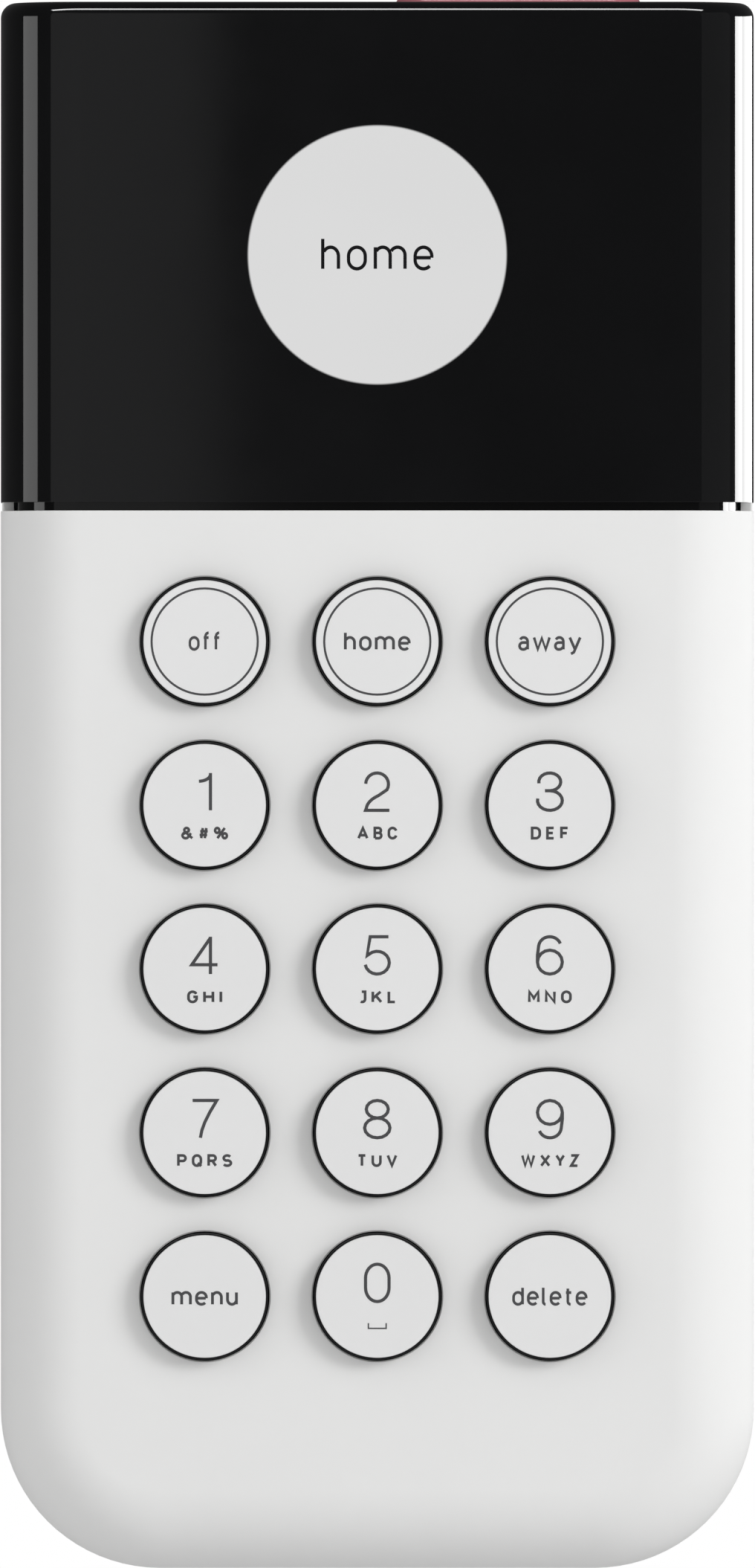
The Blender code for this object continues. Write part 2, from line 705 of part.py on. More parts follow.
def board_outline(side_margin, top):
    half = HALF_WIDTH - side_margin
    return rounded_rectangle((-half, BOARD_BOTTOM), (half, top), (3 * MM, 3 * MM, 1 * MM, 1 * MM), 3)


def make_light_guide():
    guide = slab(board_outline(GUIDE_SIDE_MARGIN, BOARD_TOP - MM), GUIDE_BACK, GUIDE_FRONT)
    radius = KEY_STEM_RADIUS + FIT_GAP
    holes = [
        disc(x, z, radius, GUIDE_BACK - FIT_GAP, GUIDE_FRONT + FIT_GAP, SMALL_SIDES)
        for _, x, z in key_places()
    ]
    return minus(guide, together(holes))


def make_dome_sheet():
    sheet_front = SHEET_BACK + SHEET_THICKNESS
    sheet = slab(board_outline(GUIDE_SIDE_MARGIN, BOARD_TOP - MM), SHEET_BACK, sheet_front)
    profile = [
        (DOME_RADIUS, sheet_front - SHEET_THICKNESS / 2),
        (DOME_RADIUS, sheet_front),
        (DOME_RADIUS * 0.6, DOME_TOP),
    ]
    domes = [moved(turned(profile, SMALL_SIDES), x=x, z=z) for _, x, z in key_places()]
    return plus(sheet, together(domes))


def make_main_board():
    board = slab(board_outline(BOARD_SIDE_MARGIN, BOARD_TOP), BOARD_BACK, BOARD_FRONT)
    half = BOARD_TAB_WIDTH / 2
    low = (-half, BOARD_BACK, BOARD_TOP - MM)
    high = (half, BOARD_FRONT, BOARD_TOP + BOARD_TAB_HEIGHT)
    return plus(board, block(low, high))


def make_board_components(parent):
    z = BAY_INNER_BOTTOM - BAY_WALL - SOUNDER_RADIUS - 2 * MM
    front = BOARD_BACK - FIT_GAP
    profile = [
        (SOUNDER_RADIUS * 0.3, front - SOUNDER_HEIGHT + 0.8 * MM),
        (SOUNDER_RADIUS * 0.3, front - SOUNDER_HEIGHT),
        (SOUNDER_RADIUS, front - SOUNDER_HEIGHT),
        (SOUNDER_RADIUS, front),
    ]
    sounder = moved(turned(profile, ROUND_SIDES), x=HOOK_X, z=z)
    part("piezo_sounder", sounder, BLACK_PLASTIC, parent)

    half_width = SHIELD_WIDTH / 2
    half_height = SHIELD_HEIGHT / 2
    shield_low = (-HOOK_X - half_width, front - SHIELD_THICKNESS, z - half_height)
    shield_high = (-HOOK_X + half_width, front, z + half_height)
    part("radio_shield", block(shield_low, shield_high), STEEL, parent)

    part("radio_antenna", antenna(z - half_height - 2 * MM, front), STEEL, parent)

    half = CONNECTOR_WIDTH / 2
    connector_z = BOARD_TOP + BOARD_TAB_HEIGHT - CONNECTOR_HEIGHT - 0.5 * MM
    low = (-half, front - CONNECTOR_THICKNESS, connector_z)
    high = (half, front, connector_z + CONNECTOR_HEIGHT)
    part("flex_connector", block(low, high), BLACK_PLASTIC, parent)
    return connector_z + CONNECTOR_HEIGHT


def antenna(z, front):
    """A flat strip that runs along the board with its feed leg turned up at one end."""
    half = ANTENNA_LENGTH / 2
    back = front - ANTENNA_HEIGHT
    strip = block((-half, back, z - ANTENNA_WIRE), (half, back + ANTENNA_WIRE, z))
    leg = block((-half, back, z - ANTENNA_WIRE), (-half + ANTENNA_WIRE, front, z))
    return plus(strip, leg)


# ---------------------------------------------------------------- batteries

def cell_places():
    """x and the direction of the positive end of each cell, which alternates."""
    first = -(CELL_COUNT - 1) / 2 * CELL_PITCH
    return [(first + index * CELL_PITCH, 1 if index % 2 == 0 else -1) for index in range(CELL_COUNT)]


def make_cell(x, way):
    """An AA cell: sleeve, crimped shoulder and the positive nipple."""
    body_length = CELL_LENGTH - CELL_NIPPLE_HEIGHT
    radius = CELL_DIAMETER / 2
    start = positive_end(way) - way * CELL_LENGTH
    rings = []
    steps = (
        (radius - 0.6 * MM, 0.0),
        (radius, 0.6 * MM),
        (radius, body_length - 0.6 * MM),
        (radius - 0.6 * MM, body_length),
        (CELL_NIPPLE_RADIUS, body_length),
        (CELL_NIPPLE_RADIUS, CELL_LENGTH),
    )
    for ring_radius, along in steps:
        rings.append(standing(circle(x, CELL_AXIS, ring_radius, ROUND_SIDES), start + way * along))
    return loft(rings)


def positive_end(way):
    """z of a cell's positive tip, next to its flat contact."""
    clear = FIT_GAP + CONTACT_THICKNESS + FIT_GAP
    return BAY_INNER_TOP - clear if way > 0 else BAY_INNER_BOTTOM + clear


def contact_solid(x, way):
    half = CONTACT_SIZE / 2
    near = positive_end(way) + way * FIT_GAP
    far = near + way * CONTACT_THICKNESS
    low = (x - half, CELL_AXIS - half, min(near, far))
    high = (x + half, CELL_AXIS + half, max(near, far))
    return block(low, high)


def spring_solid(x, way):
    """A conical coil of round wire against the wall at the negative end."""
    steps_per_turn = 10
    wire_sides = 6
    steps = int(SPRING_TURNS * steps_per_turn)
    wall = BAY_INNER_BOTTOM if way > 0 else BAY_INNER_TOP
    start = wall + way * (FIT_GAP + SPRING_WIRE_RADIUS)
    rise = SPRING_HEIGHT - 2 * SPRING_WIRE_RADIUS
    rings = []
    for step in range(steps + 1):
        share = step / steps
        angle = 2 * math.pi * SPRING_TURNS * share
        radius = SPRING_BASE_RADIUS + (SPRING_TOP_RADIUS - SPRING_BASE_RADIUS) * share
        outward = Vector((math.cos(angle), math.sin(angle), 0))
        centre = Vector((x, -CELL_AXIS, start + way * rise * share)) + outward * radius
        ring = []
        for side in range(wire_sides):
            turn = 2 * math.pi * side / wire_sides
            ring.append(centre + SPRING_WIRE_RADIUS * (outward * math.cos(turn)
                                                       + Vector((0, 0, 1)) * math.sin(turn)))
        rings.append(ring)
    return loft(rings)


def make_batteries(parent):
    for index, (x, way) in enumerate(cell_places(), start=1):
        part(f"battery_{index}", make_cell(x, way), CELL_SLEEVE, parent)
        part(f"battery_contact_{index}", contact_solid(x, way), STEEL, parent)
        part(f"battery_spring_{index}", spring_solid(x, way), STEEL, parent)


# ---------------------------------------------------------------- screws

def screw_solid(x, z):
    head_back = REAR_BACK + FIT_GAP
    head_front = head_back + SCREW_HEAD_HEIGHT
    profile = [
        (SCREW_HEAD_RADIUS * 0.8, head_back),
        (SCREW_HEAD_RADIUS, head_back + SCREW_HEAD_HEIGHT / 2),
        (SCREW_HEAD_RADIUS, head_front),
        (SCREW_SHANK_RADIUS, head_front),
        (SCREW_SHANK_RADIUS, head_front + SCREW_LENGTH - MM),
        (SCREW_SHANK_RADIUS / 3, head_front + SCREW_LENGTH),
    ]
    return moved(turned(profile, SMALL_SIDES), x=x, z=z)


def make_screws(parent):
    names = ("case_screw_left", "case_screw_right", "chassis_screw_left", "chassis_screw_right")
    for name, (x, z) in zip(names, screw_places()):
        part(name, screw_solid(x, z), STEEL, parent)


# ---------------------------------------------------------------- rocker

def switch_places():
    """Name, x and z of the four switches under the head's edges."""
    return (
        ("rocker_switch_left", -SIDE_SWITCH_REACH, HEAD_CENTRE),
        ("rocker_switch_right", SIDE_SWITCH_REACH, HEAD_CENTRE),
        ("rocker_switch_top", 0.0, HEAD_CENTRE + END_SWITCH_REACH),
        ("rocker_switch_bottom", 0.0, HEAD_CENTRE - END_SWITCH_REACH),
    )


def make_rocker_base():
    """Chassis plate with two screw posts and the two bearings of the gimbal's pins."""
    margin = TONGUE_INSET + TONGUE_WALL + FIT_GAP
    half = HALF_WIDTH - margin
    outline = rounded_rectangle((-half, COLLAR_TOP + FIT_GAP), (half, BODY_TOP - margin), (2 * MM,) * 4, 3)
    base = slab(outline, BASE_BACK, BASE_FRONT)
    posts = [disc(x, z, SCREW_POST_RADIUS, BASE_BACK + BASE_THICKNESS / 2, CARRIER_BACK - 1.2 * MM)
             for x, z in screw_places()[2:]]
    bearings = []
    for side in (-1, 1):
        near = RING_WIDTH / 2 + CARRIER_GAP
        low = (min(side * near, side * (near + LUG_THICKNESS)), BASE_BACK + BASE_THICKNESS / 2,
               HEAD_CENTRE - LUG_HALF_WIDTH)
        high = (max(side * near, side * (near + LUG_THICKNESS)), PIVOT_DEPTH + LUG_REACH,
                HEAD_CENTRE + LUG_HALF_WIDTH)
        bearings.append(block(low, high))
    base = plus(base, together(posts + bearings))
    reach = RING_WIDTH / 2 + CARRIER_GAP + LUG_THICKNESS + MM
    bores = [
        pin_along_x(side * (RING_WIDTH / 2), side * reach, PIVOT_DEPTH, HEAD_CENTRE, PIN_RADIUS + PIN_GAP)
        for side in (-1, 1)
    ]
    screws = [
        disc(x, z, SCREW_SHANK_RADIUS + FIT_GAP, BASE_BACK - FIT_GAP, CARRIER_BACK, SMALL_SIDES)
        for x, z in screw_places()[2:]
    ]
    return minus(base, together(bores), together(screws))


def make_gimbal():
    """A rectangular ring with a pin on each side, along X to the base and along Z to the carrier."""
    half_x = RING_WIDTH / 2
    half_z = RING_HEIGHT / 2
    back = PIVOT_DEPTH - RING_BAR / 2
    front = PIVOT_DEPTH + RING_BAR / 2
    ring = block((-half_x, back, HEAD_CENTRE - half_z), (half_x, front, HEAD_CENTRE + half_z))
    inner_x = half_x - RING_BAR
    inner_z = half_z - RING_BAR
    hole = block((-inner_x, back - MM, HEAD_CENTRE - inner_z), (inner_x, front + MM, HEAD_CENTRE + inner_z))
    ring = minus(ring, hole)
    pins = []
    root = RING_BAR / 2
    for side in (-1, 1):
        pins.append(pin_along_x(side * (half_x - root), side * (half_x + PIN_LENGTH), PIVOT_DEPTH,
                                HEAD_CENTRE, PIN_RADIUS))
        pins.append(pin_along_z(0.0, PIVOT_DEPTH, HEAD_CENTRE + side * (half_z - root),
                                HEAD_CENTRE + side * (half_z + PIN_LENGTH), PIN_RADIUS))
    return plus(ring, together(pins))


def make_carrier():
    """The head's inner plate: lugs on the gimbal's upright pins, pads over the switches, posts for the
    display module and the shelf of the panic switch."""
    half = HALF_WIDTH - HEAD_WALL - 0.6 * MM
    outline = rounded_rectangle(
        (-half, COLLAR_TOP + 3 * FIT_GAP), (half, HEAD_INSIDE_TOP - 2 * MM), (2 * MM,) * 4, 3
    )
    carrier = slab(outline, CARRIER_BACK, CARRIER_FRONT)
    inside = CARRIER_BACK + CARRIER_THICKNESS / 2
    lugs = []
    for side in (-1, 1):
        near = HEAD_CENTRE + side * (RING_HEIGHT / 2 + CARRIER_GAP)
        far = near + side * LUG_THICKNESS
        low = (-LUG_HALF_WIDTH, PIVOT_DEPTH - LUG_REACH, min(near, far))
        high = (LUG_HALF_WIDTH, inside, max(near, far))
        lugs.append(block(low, high))
    pads = [disc(x, z, PAD_RADIUS, PAD_TIP, inside, SMALL_SIDES) for _, x, z in switch_places()]
    reach = MODULE_SIZE / 2 - 2 * MM
    posts = [
        disc(side_x * reach, DISPLAY_CENTRE + side_z * reach, PAD_RADIUS, inside, MODULE_BACK - FIT_GAP,
             SMALL_SIDES)
        for side_x in (-1, 1) for side_z in (-1, 1)
    ]
    width, depth, _ = PANIC_SWITCH_SIZE
    shelf_low = (PANIC_X - width / 2 - MM, inside, shelf_top() - 1.2 * MM)
    shelf_high = (PANIC_X + width / 2 + MM, PANIC_SWITCH_DEPTH + depth / 2 + MM, shelf_top())
    carrier = plus(carrier, together(lugs + pads + posts), block(shelf_low, shelf_high))
    bores = [
        pin_along_z(0.0, PIVOT_DEPTH, HEAD_CENTRE + side * RING_HEIGHT / 2,
                    HEAD_CENTRE + side * (RING_HEIGHT / 2 + PIN_LENGTH + MM), PIN_RADIUS + PIN_GAP)
        for side in (-1, 1)
    ]
    return minus(carrier, together(bores))


def shelf_top():
    """Height of the shelf under the panic switch, from the button's stem and travel down."""
    tip = PANIC_STEM_BOTTOM - PANIC_TRAVEL - FIT_GAP
    return tip - SWITCH_PLUNGER / 2 - PANIC_SWITCH_SIZE[2] - FIT_GAP


def make_rocker_switch(x, z):
    half = SWITCH_SIZE / 2
    body = block((x - half, SWITCH_BACK, z - half), (x + half, SWITCH_BACK + SWITCH_HEIGHT, z + half))
    plunger = disc(x, z, SWITCH_PLUNGER_RADIUS, SWITCH_BACK + SWITCH_HEIGHT / 2, SWITCH_TOP, SMALL_SIDES)
    return plus(body, plunger)


# ---------------------------------------------------------------- head

def head_solid(inset, bottom, top, edge, back):
    """The head's outer or inner form: rounded front corners and a rounded top edge."""
    rings = [standing(plan_outline(inset, back), bottom)]
    steps = 4
    for step in range(steps + 1):
        angle = math.radians(90 * step / steps)
        extra = edge * (1 - math.cos(angle))
        rings.append(standing(plan_outline(inset + extra, back), top - edge * (1 - math.sin(angle))))
    return loft(rings)


def panic_outline(growth):
    radius = PANIC_WIDTH / 2 + growth - 0.1 * MM
    half_length = PANIC_LENGTH / 2 + growth
    half_width = PANIC_WIDTH / 2 + growth
    return rounded_rectangle(
        (PANIC_X - half_length, PANIC_DEPTH - half_width),
        (PANIC_X + half_length, PANIC_DEPTH + half_width),
        (radius,) * 4,
        4,
    )


def make_head_cap():
    outer = head_solid(0.0, HEAD_BOTTOM, BODY_TOP, TOP_CORNER_RADIUS, HEAD_RIM)
    inner_edge = TOP_CORNER_RADIUS - HEAD_WALL
    inner = head_solid(HEAD_WALL, HEAD_BOTTOM - MM, HEAD_INSIDE_TOP, inner_edge, HEAD_RIM - MM)
    slot = column(panic_outline(FIT_GAP), HEAD_INSIDE_TOP - MM, BODY_TOP + MM)
    return minus(outer, inner, slot)


def make_panic_button(parent):
    edge = 0.4 * MM
    top = BODY_TOP + PANIC_PROUD
    flange_bottom = PANIC_FLANGE_TOP - PANIC_FLANGE_THICKNESS
    rings = [
        standing(panic_outline(-1.5 * MM), PANIC_STEM_BOTTOM),
        standing(panic_outline(-1.5 * MM), flange_bottom),
        standing(panic_outline(PANIC_FLANGE), flange_bottom),
        standing(panic_outline(PANIC_FLANGE), PANIC_FLANGE_TOP),
        standing(panic_outline(0.0), PANIC_FLANGE_TOP),
        standing(panic_outline(0.0), top - edge),
        standing(panic_outline(-edge), top),
    ]
    return part("panic_button", loft(rings), RED_PLASTIC, parent, Vector((PANIC_X, -PANIC_DEPTH, top)))


def make_panic_switch():
    width, depth, height = PANIC_SWITCH_SIZE
    bottom = shelf_top() + FIT_GAP
    low = (PANIC_X - width / 2, PANIC_SWITCH_DEPTH - depth / 2, bottom)
    high = (PANIC_X + width / 2, PANIC_SWITCH_DEPTH + depth / 2, bottom + height)
    tip = bottom + height + SWITCH_PLUNGER / 2
    plunger = pin_along_z(PANIC_X, PANIC_SWITCH_DEPTH, bottom + height / 2, tip, SWITCH_PLUNGER_RADIUS)
    return plus(block(low, high), plunger)


def make_display_module():
    half = MODULE_SIZE / 2
    outline = rounded_rectangle((-half, DISPLAY_CENTRE - half), (half, DISPLAY_CENTRE + half), (MM,) * 4, 2)
    module = slab(outline, MODULE_BACK, MODULE_FRONT)
    window = disc(0.0, DISPLAY_CENTRE, DIFFUSER_RADIUS, MODULE_FRONT - 0.6 * MM, MODULE_FRONT + MM)
    return minus(module, window)


def make_display_flex(connector_top):
    half = FLEX_WIDTH / 2
    back = MODULE_BACK - FIT_GAP - FLEX_THICKNESS
    low = (-half, back, connector_top + 2 * FIT_GAP)
    high = (half, back + FLEX_THICKNESS, DISPLAY_CENTRE - 4 * MM)
    return block(low, high)


def make_collar():
    outer = column(plan_outline(COLLAR_INSET, REAR_RIM + 2 * FIT_GAP), COLLAR_BOTTOM, COLLAR_TOP)
    inset = COLLAR_INSET + COLLAR_WALL
    inner = column(plan_outline(inset, REAR_RIM + 2 * FIT_GAP + COLLAR_WALL), COLLAR_BOTTOM - MM,
                   COLLAR_TOP + MM)
    return minus(outer, inner)


# ---------------------------------------------------------------- assembly

def clear_scene():
    for item in list(bpy.data.objects):
        bpy.data.objects.remove(item)


def assemble():
    clear_scene()
    housing = pivot("housing_lift", 0.0, REAR_BACK, 0.0)
    head = pivot("head_pivot", 0.0, PIVOT_DEPTH, HEAD_CENTRE)

    make_wall_plate()
    make_adhesive_pads()
    part("rear_housing", make_rear_housing(), WHITE_PLASTIC, housing)
    part("front_housing", make_front_housing(), WHITE_PLASTIC, housing)
    part("neck_collar", make_collar(), BLACK_GLOSS, housing)
    part("key_light_guide", make_light_guide(), CLEAR_PLASTIC, housing)
    part("dome_sheet", make_dome_sheet(), CLEAR_PLASTIC, housing)
    part("main_board", make_main_board(), BOARD_GREEN, housing)
    connector_top = make_board_components(housing)
    make_batteries(housing)
    make_screws(housing)
    part("rocker_base", make_rocker_base(), BLACK_PLASTIC, housing)
    for name, x, z in switch_places():
        part(name, make_rocker_switch(x, z), BLACK_PLASTIC, housing)
    for name, x, z in key_places():
        make_key(name, x, z, housing)

    part("rocker_gimbal", make_gimbal(), GREY_PLASTIC, head)
    part("head_carrier", make_carrier(), BLACK_PLASTIC, head)
    part("display_module", make_display_module(), STEEL, head)
    diffuser = disc(0.0, DISPLAY_CENTRE, DIFFUSER_RADIUS, DIFFUSER_BACK, DIFFUSER_FRONT, KEY_SIDES)
    part("display_diffuser", diffuser, CLEAR_PLASTIC, head)
    part("display_flex", make_display_flex(connector_top), COPPER_FILM, head)
    part("panic_switch", make_panic_switch(), BLACK_PLASTIC, head)
    part("head_cap", make_head_cap(), BLACK_GLOSS, head)
    make_panic_button(head)


assemble()
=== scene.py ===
"""The looks of a wall-mounted alarm keypad: a rocking black display head over a white housing with
fifteen round keys. Metres, +Z up, the wall at Y = 0, the keypad faces -Y."""

import math

import bmesh
import bpy
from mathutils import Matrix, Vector


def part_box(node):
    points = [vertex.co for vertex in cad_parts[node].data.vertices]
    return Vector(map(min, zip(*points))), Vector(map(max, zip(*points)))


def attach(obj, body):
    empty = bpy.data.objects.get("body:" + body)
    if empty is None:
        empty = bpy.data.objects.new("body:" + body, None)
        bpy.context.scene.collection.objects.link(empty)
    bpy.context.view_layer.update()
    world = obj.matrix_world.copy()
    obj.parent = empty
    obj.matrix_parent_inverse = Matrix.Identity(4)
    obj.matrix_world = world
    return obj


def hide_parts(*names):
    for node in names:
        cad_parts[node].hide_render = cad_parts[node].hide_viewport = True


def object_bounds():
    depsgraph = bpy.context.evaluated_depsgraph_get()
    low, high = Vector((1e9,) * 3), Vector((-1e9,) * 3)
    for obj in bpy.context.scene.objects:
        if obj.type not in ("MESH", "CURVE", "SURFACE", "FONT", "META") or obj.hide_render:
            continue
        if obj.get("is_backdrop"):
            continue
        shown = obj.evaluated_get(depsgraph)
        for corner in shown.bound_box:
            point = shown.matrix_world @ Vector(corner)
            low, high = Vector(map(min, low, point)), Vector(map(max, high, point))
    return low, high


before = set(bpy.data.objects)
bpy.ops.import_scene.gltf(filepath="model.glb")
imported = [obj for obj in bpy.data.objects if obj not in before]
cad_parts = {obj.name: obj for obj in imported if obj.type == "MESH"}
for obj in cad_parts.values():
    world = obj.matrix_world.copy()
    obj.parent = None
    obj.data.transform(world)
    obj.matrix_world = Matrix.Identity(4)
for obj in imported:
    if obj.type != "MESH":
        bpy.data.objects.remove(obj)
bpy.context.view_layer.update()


# ------------------------------------------------------------------ front housing
# The white shell that carries the keys: one injection moulding in fine-textured ABS, open at its back
# and top, with soft front edges and a hole with a broken edge for each key. It clips and screws to the
# rear housing.

MM = 0.001
CORNER_STEPS = 20
ROUNDOVER_STEPS = 14
BOTTOM_CORNER = 14.8 * MM
FRONT_ROUNDOVER = 7.5 * MM
EDGE_BREAK = 0.22 * MM
FRONT_WALL = 2.0 * MM
RIM_WALL = 1.3 * MM
KEY_HOLE_RADIUS = 6.0 * MM
HOLE_BREAK = 0.12 * MM
HOLE_SIDES = 96
POST_RADIUS = 2.6 * MM
POST_BORE = 1.3 * MM
POST_START = 3.5 * MM
POST_SPARE = 0.6 * MM
POST_SIDES = 32
CUT_SPARE = 1.0 * MM
FIT_GAP = 0.3 * MM
ROCKING_GAP = 0.75 * MM
PARTING_GAP = 0.3 * MM
WELD_DISTANCE = 0.0005 * MM
SHARP_ANGLE = math.radians(32)
CORNER_ANGLE = math.radians(40)
CLOUD_LOW = 0.3
CLOUD_HIGH = 0.7
GRAIN_DEPTH = 0.02 * MM
WHITE = (0.79, 0.79, 0.785)
KEY_NAMES = [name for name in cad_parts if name.startswith("key_") and name != "key_light_guide"]

front_low, front_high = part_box("front_housing")
half_width = front_high.x
front_face = front_low.y
head_low, head_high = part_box("head_cap")
collar_low, collar_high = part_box("neck_collar")


def arc(centre_x, centre_y, radius_x, radius_y, start, end, steps):
    """Points on an elliptical arc, in degrees, both ends included."""
    points = []
    for step in range(steps + 1):
        angle = math.radians(start + (end - start) * step / steps)
        points.append((centre_x + radius_x * math.cos(angle), centre_y + radius_y * math.sin(angle)))
    return points


def rounded(low, high, radii, steps=CORNER_STEPS):
    """Counter-clockwise outline with its own radius at each corner; a radius of 0 gives one point."""
    corners = (
        (low[0], low[1], 1, 1), (high[0], low[1], -1, 1),
        (high[0], high[1], -1, -1), (low[0], high[1], 1, -1),
    )
    points = []
    for index, ((x, y, side_x, side_y), radius) in enumerate(zip(corners, radii)):
        if radius <= 0:
            points.append((x, y))
            continue
        start = 180 + 90 * index
        points += arc(x + side_x * radius, y + side_y * radius, radius, radius, start, start + 90, steps)
    return points


def loft(rings):
    """A closed solid through rings of equal length, with flat ends."""
    solid = bmesh.new()
    rows = [[solid.verts.new(point) for point in ring] for ring in rings]
    for lower, upper in zip(rows, rows[1:]):
        for index in range(len(lower)):
            after = (index + 1) % len(lower)
            solid.faces.new((lower[index], lower[after], upper[after], upper[index]))
    solid.faces.new(rows[0])
    solid.faces.new(rows[-1])
    bmesh.ops.recalc_face_normals(solid, faces=solid.faces)
    return solid


def facing(outline, y):
    """An outline in X and Z, put at a depth."""
    return [Vector((x, y, z)) for x, z in outline]


def standing(outline, z):
    """An outline in X and Y, put at a height."""
    return [Vector((x, y, z)) for x, y in outline]


def block(low, high):
    """A plain box between two corners."""
    outline = ((low[0], low[2]), (high[0], low[2]), (high[0], high[2]), (low[0], high[2]))
    return loft([facing(outline, low[1]), facing(outline, high[1])])


def turned(profile, x, z, sides=HOLE_SIDES):
    """A solid turned about the Y axis through x and z, along (radius, y)."""
    rings = []
    for radius, y in profile:
        rings.append(facing(arc(x, z, radius, radius, 0, 360 * (sides - 1) / sides, sides - 1), y))
    return loft(rings)


def plain_mesh(name, solid):
    """The mesh of a solid, which is used up."""
    mesh = bpy.data.meshes.new(name)
    solid.to_mesh(mesh)
    solid.free()
    return mesh


def placed(name, mesh):
    """An object in the scene, at the origin."""
    item = bpy.data.objects.new(name, mesh)
    bpy.context.scene.collection.objects.link(item)
    return item


def evaluated(item):
    """The solid that an object's modifiers give; the object is removed."""
    result = bmesh.new()
    result.from_object(item, bpy.context.evaluated_depsgraph_get())
    bpy.data.objects.remove(item)
    return result


def combined(solid, tool, operation):
    """One solid cut by another or joined to it."""
    target = placed("target", plain_mesh("target", solid))
    other = placed("tool", plain_mesh("tool", tool))
    modifier = target.modifiers.new("combine", "BOOLEAN")
    modifier.object = other
    modifier.operation = operation
    modifier.solver = "EXACT"
    result = evaluated(target)
    bpy.data.objects.remove(other)
    return result


def minus(solid, *tools):
    """A solid with the tools cut away."""
    for tool in tools:
        solid = combined(solid, tool, "DIFFERENCE")
    return solid


def plus(solid, *tools):
    """A solid with the tools joined on."""
    for tool in tools:
        solid = combined(solid, tool, "UNION")
    return solid


def together(solids):
    """Solids in one mesh."""
    joined = bmesh.new()
    for solid in solids:
        joined.from_mesh(plain_mesh("member", solid))
    return joined


def edges_broken(solid, width, segments=3, where=None):
    """Rounds the sharp edges, as a mould leaves them."""
    sharp = []
    for edge in solid.edges:
        if len(edge.link_faces) == 2 and edge.calc_face_angle() > CORNER_ANGLE:
            if where is None or all(where(corner.co) for corner in edge.verts):
                sharp.append(edge)
    bmesh.ops.bevel(solid, geom=sharp, offset=width, segments=segments, profile=0.5, affect="EDGES",
                    clamp_overlap=True)
    return solid


def finished(name, solid, finish):
    """A named piece with smooth shading that keeps its flats flat and its corners crisp."""
    bmesh.ops.remove_doubles(solid, verts=solid.verts, dist=WELD_DISTANCE)
    item = placed(name, plain_mesh(name, solid))
    item.data.shade_smooth()
    item.data.set_sharp_from_angle(angle=SHARP_ANGLE)
    weighted = item.modifiers.new("flat faces", "WEIGHTED_NORMAL")
    weighted.keep_sharp = True
    mesh = bpy.data.meshes.new_from_object(item.evaluated_get(bpy.context.evaluated_depsgraph_get()))
    mesh.name = name
    item.modifiers.clear()
    item.data = mesh
    mesh.materials.clear()
    mesh.materials.append(finish)
    return item


def shader_node(tree, kind, **inputs):
    """A new node with its inputs set; an underscore stands for a space in an input's name."""
    node = tree.nodes.new(kind)
    for name, value in inputs.items():
        node.inputs[name.replace("_", " ")].default_value = value
    return node


def node_of(finish, kind):
    """The first node of a kind in a finish."""
    return next(node for node in finish.node_tree.nodes if node.bl_idname == kind)


def dyed(colour, share):
    """A colour made lighter or darker, with full cover."""
    return (*[min(1.0, part * share) for part in colour], 1.0)


def raised(finish, height, strength, distance, sunk=False):
    """Gives a finish a relief that follows a height."""
    tree = finish.node_tree
    bump = shader_node(tree, "ShaderNodeBump", Strength=strength, Distance=distance)
    bump.invert = sunk
    tree.links.new(height, bump.inputs["Height"])
    tree.links.new(bump.outputs["Normal"], tree.nodes["Principled BSDF"].inputs["Normal"])


def moulded_plastic(name, colour, roughness, mottle=0.03, grain_size=0.25 * MM, grain=0.05,
                    gloss_drift=0.03, specular=0.5):
    """Moulded plastic: a faint large mottle in its colour and gloss over a fine spark-eroded grain."""
    finish = bpy.data.materials.new(name)
    finish.use_nodes = True
    tree = finish.node_tree
    shader = tree.nodes["Principled BSDF"]
    shader.inputs["Specular IOR Level"].default_value = specular
    place = tree.nodes.new("ShaderNodeTexCoord")
    cloud = shader_node(tree, "ShaderNodeTexNoise", Scale=60.0, Detail=3.0, Roughness=0.5)
    tree.links.new(place.outputs["Object"], cloud.inputs["Vector"])
    tone = tree.nodes.new("ShaderNodeValToRGB")
    darker, lighter = tone.color_ramp.elements
    darker.position = CLOUD_LOW
    darker.color = dyed(colour, 1 - mottle)
    lighter.position = CLOUD_HIGH
    lighter.color = dyed(colour, 1 + mottle)
    tree.links.new(cloud.outputs["Fac"], tone.inputs["Fac"])
    tree.links.new(tone.outputs["Color"], shader.inputs["Base Color"])
    gloss = shader_node(tree, "ShaderNodeMapRange", From_Min=CLOUD_LOW, From_Max=CLOUD_HIGH,
                        To_Min=roughness - gloss_drift, To_Max=roughness + gloss_drift)
    tree.links.new(cloud.outputs["Fac"], gloss.inputs["Value"])
    tree.links.new(gloss.outputs["Result"], shader.inputs["Roughness"])
    grit = shader_node(tree, "ShaderNodeTexNoise", Scale=1 / grain_size, Detail=2.0, Roughness=0.6)
    tree.links.new(place.outputs["Object"], grit.inputs["Vector"])
    raised(finish, grit.outputs["Fac"], strength=grain, distance=GRAIN_DEPTH)
    return finish


def face_outline(inset, low_z, high_z):
    """The housing's outline from the front: round bottom corners and square top ones."""
    radius = BOTTOM_CORNER - inset
    return rounded((-half_width + inset, low_z + inset), (half_width - inset, high_z),
                   (radius, radius, 0, 0))


def domed_shell(inset, low_z, high_z, back, face, roundover):
    """A solid on the housing's outline, rounded over towards its face."""
    rings = [facing(face_outline(inset, low_z, high_z), back)]
    for step in range(ROUNDOVER_STEPS + 1):
        angle = math.radians(90 * step / ROUNDOVER_STEPS)
        further = roundover * (1 - math.cos(angle))
        y = face + roundover * (1 - math.sin(angle))
        rings.append(facing(face_outline(inset + further, low_z, high_z), y))
    return loft(rings)


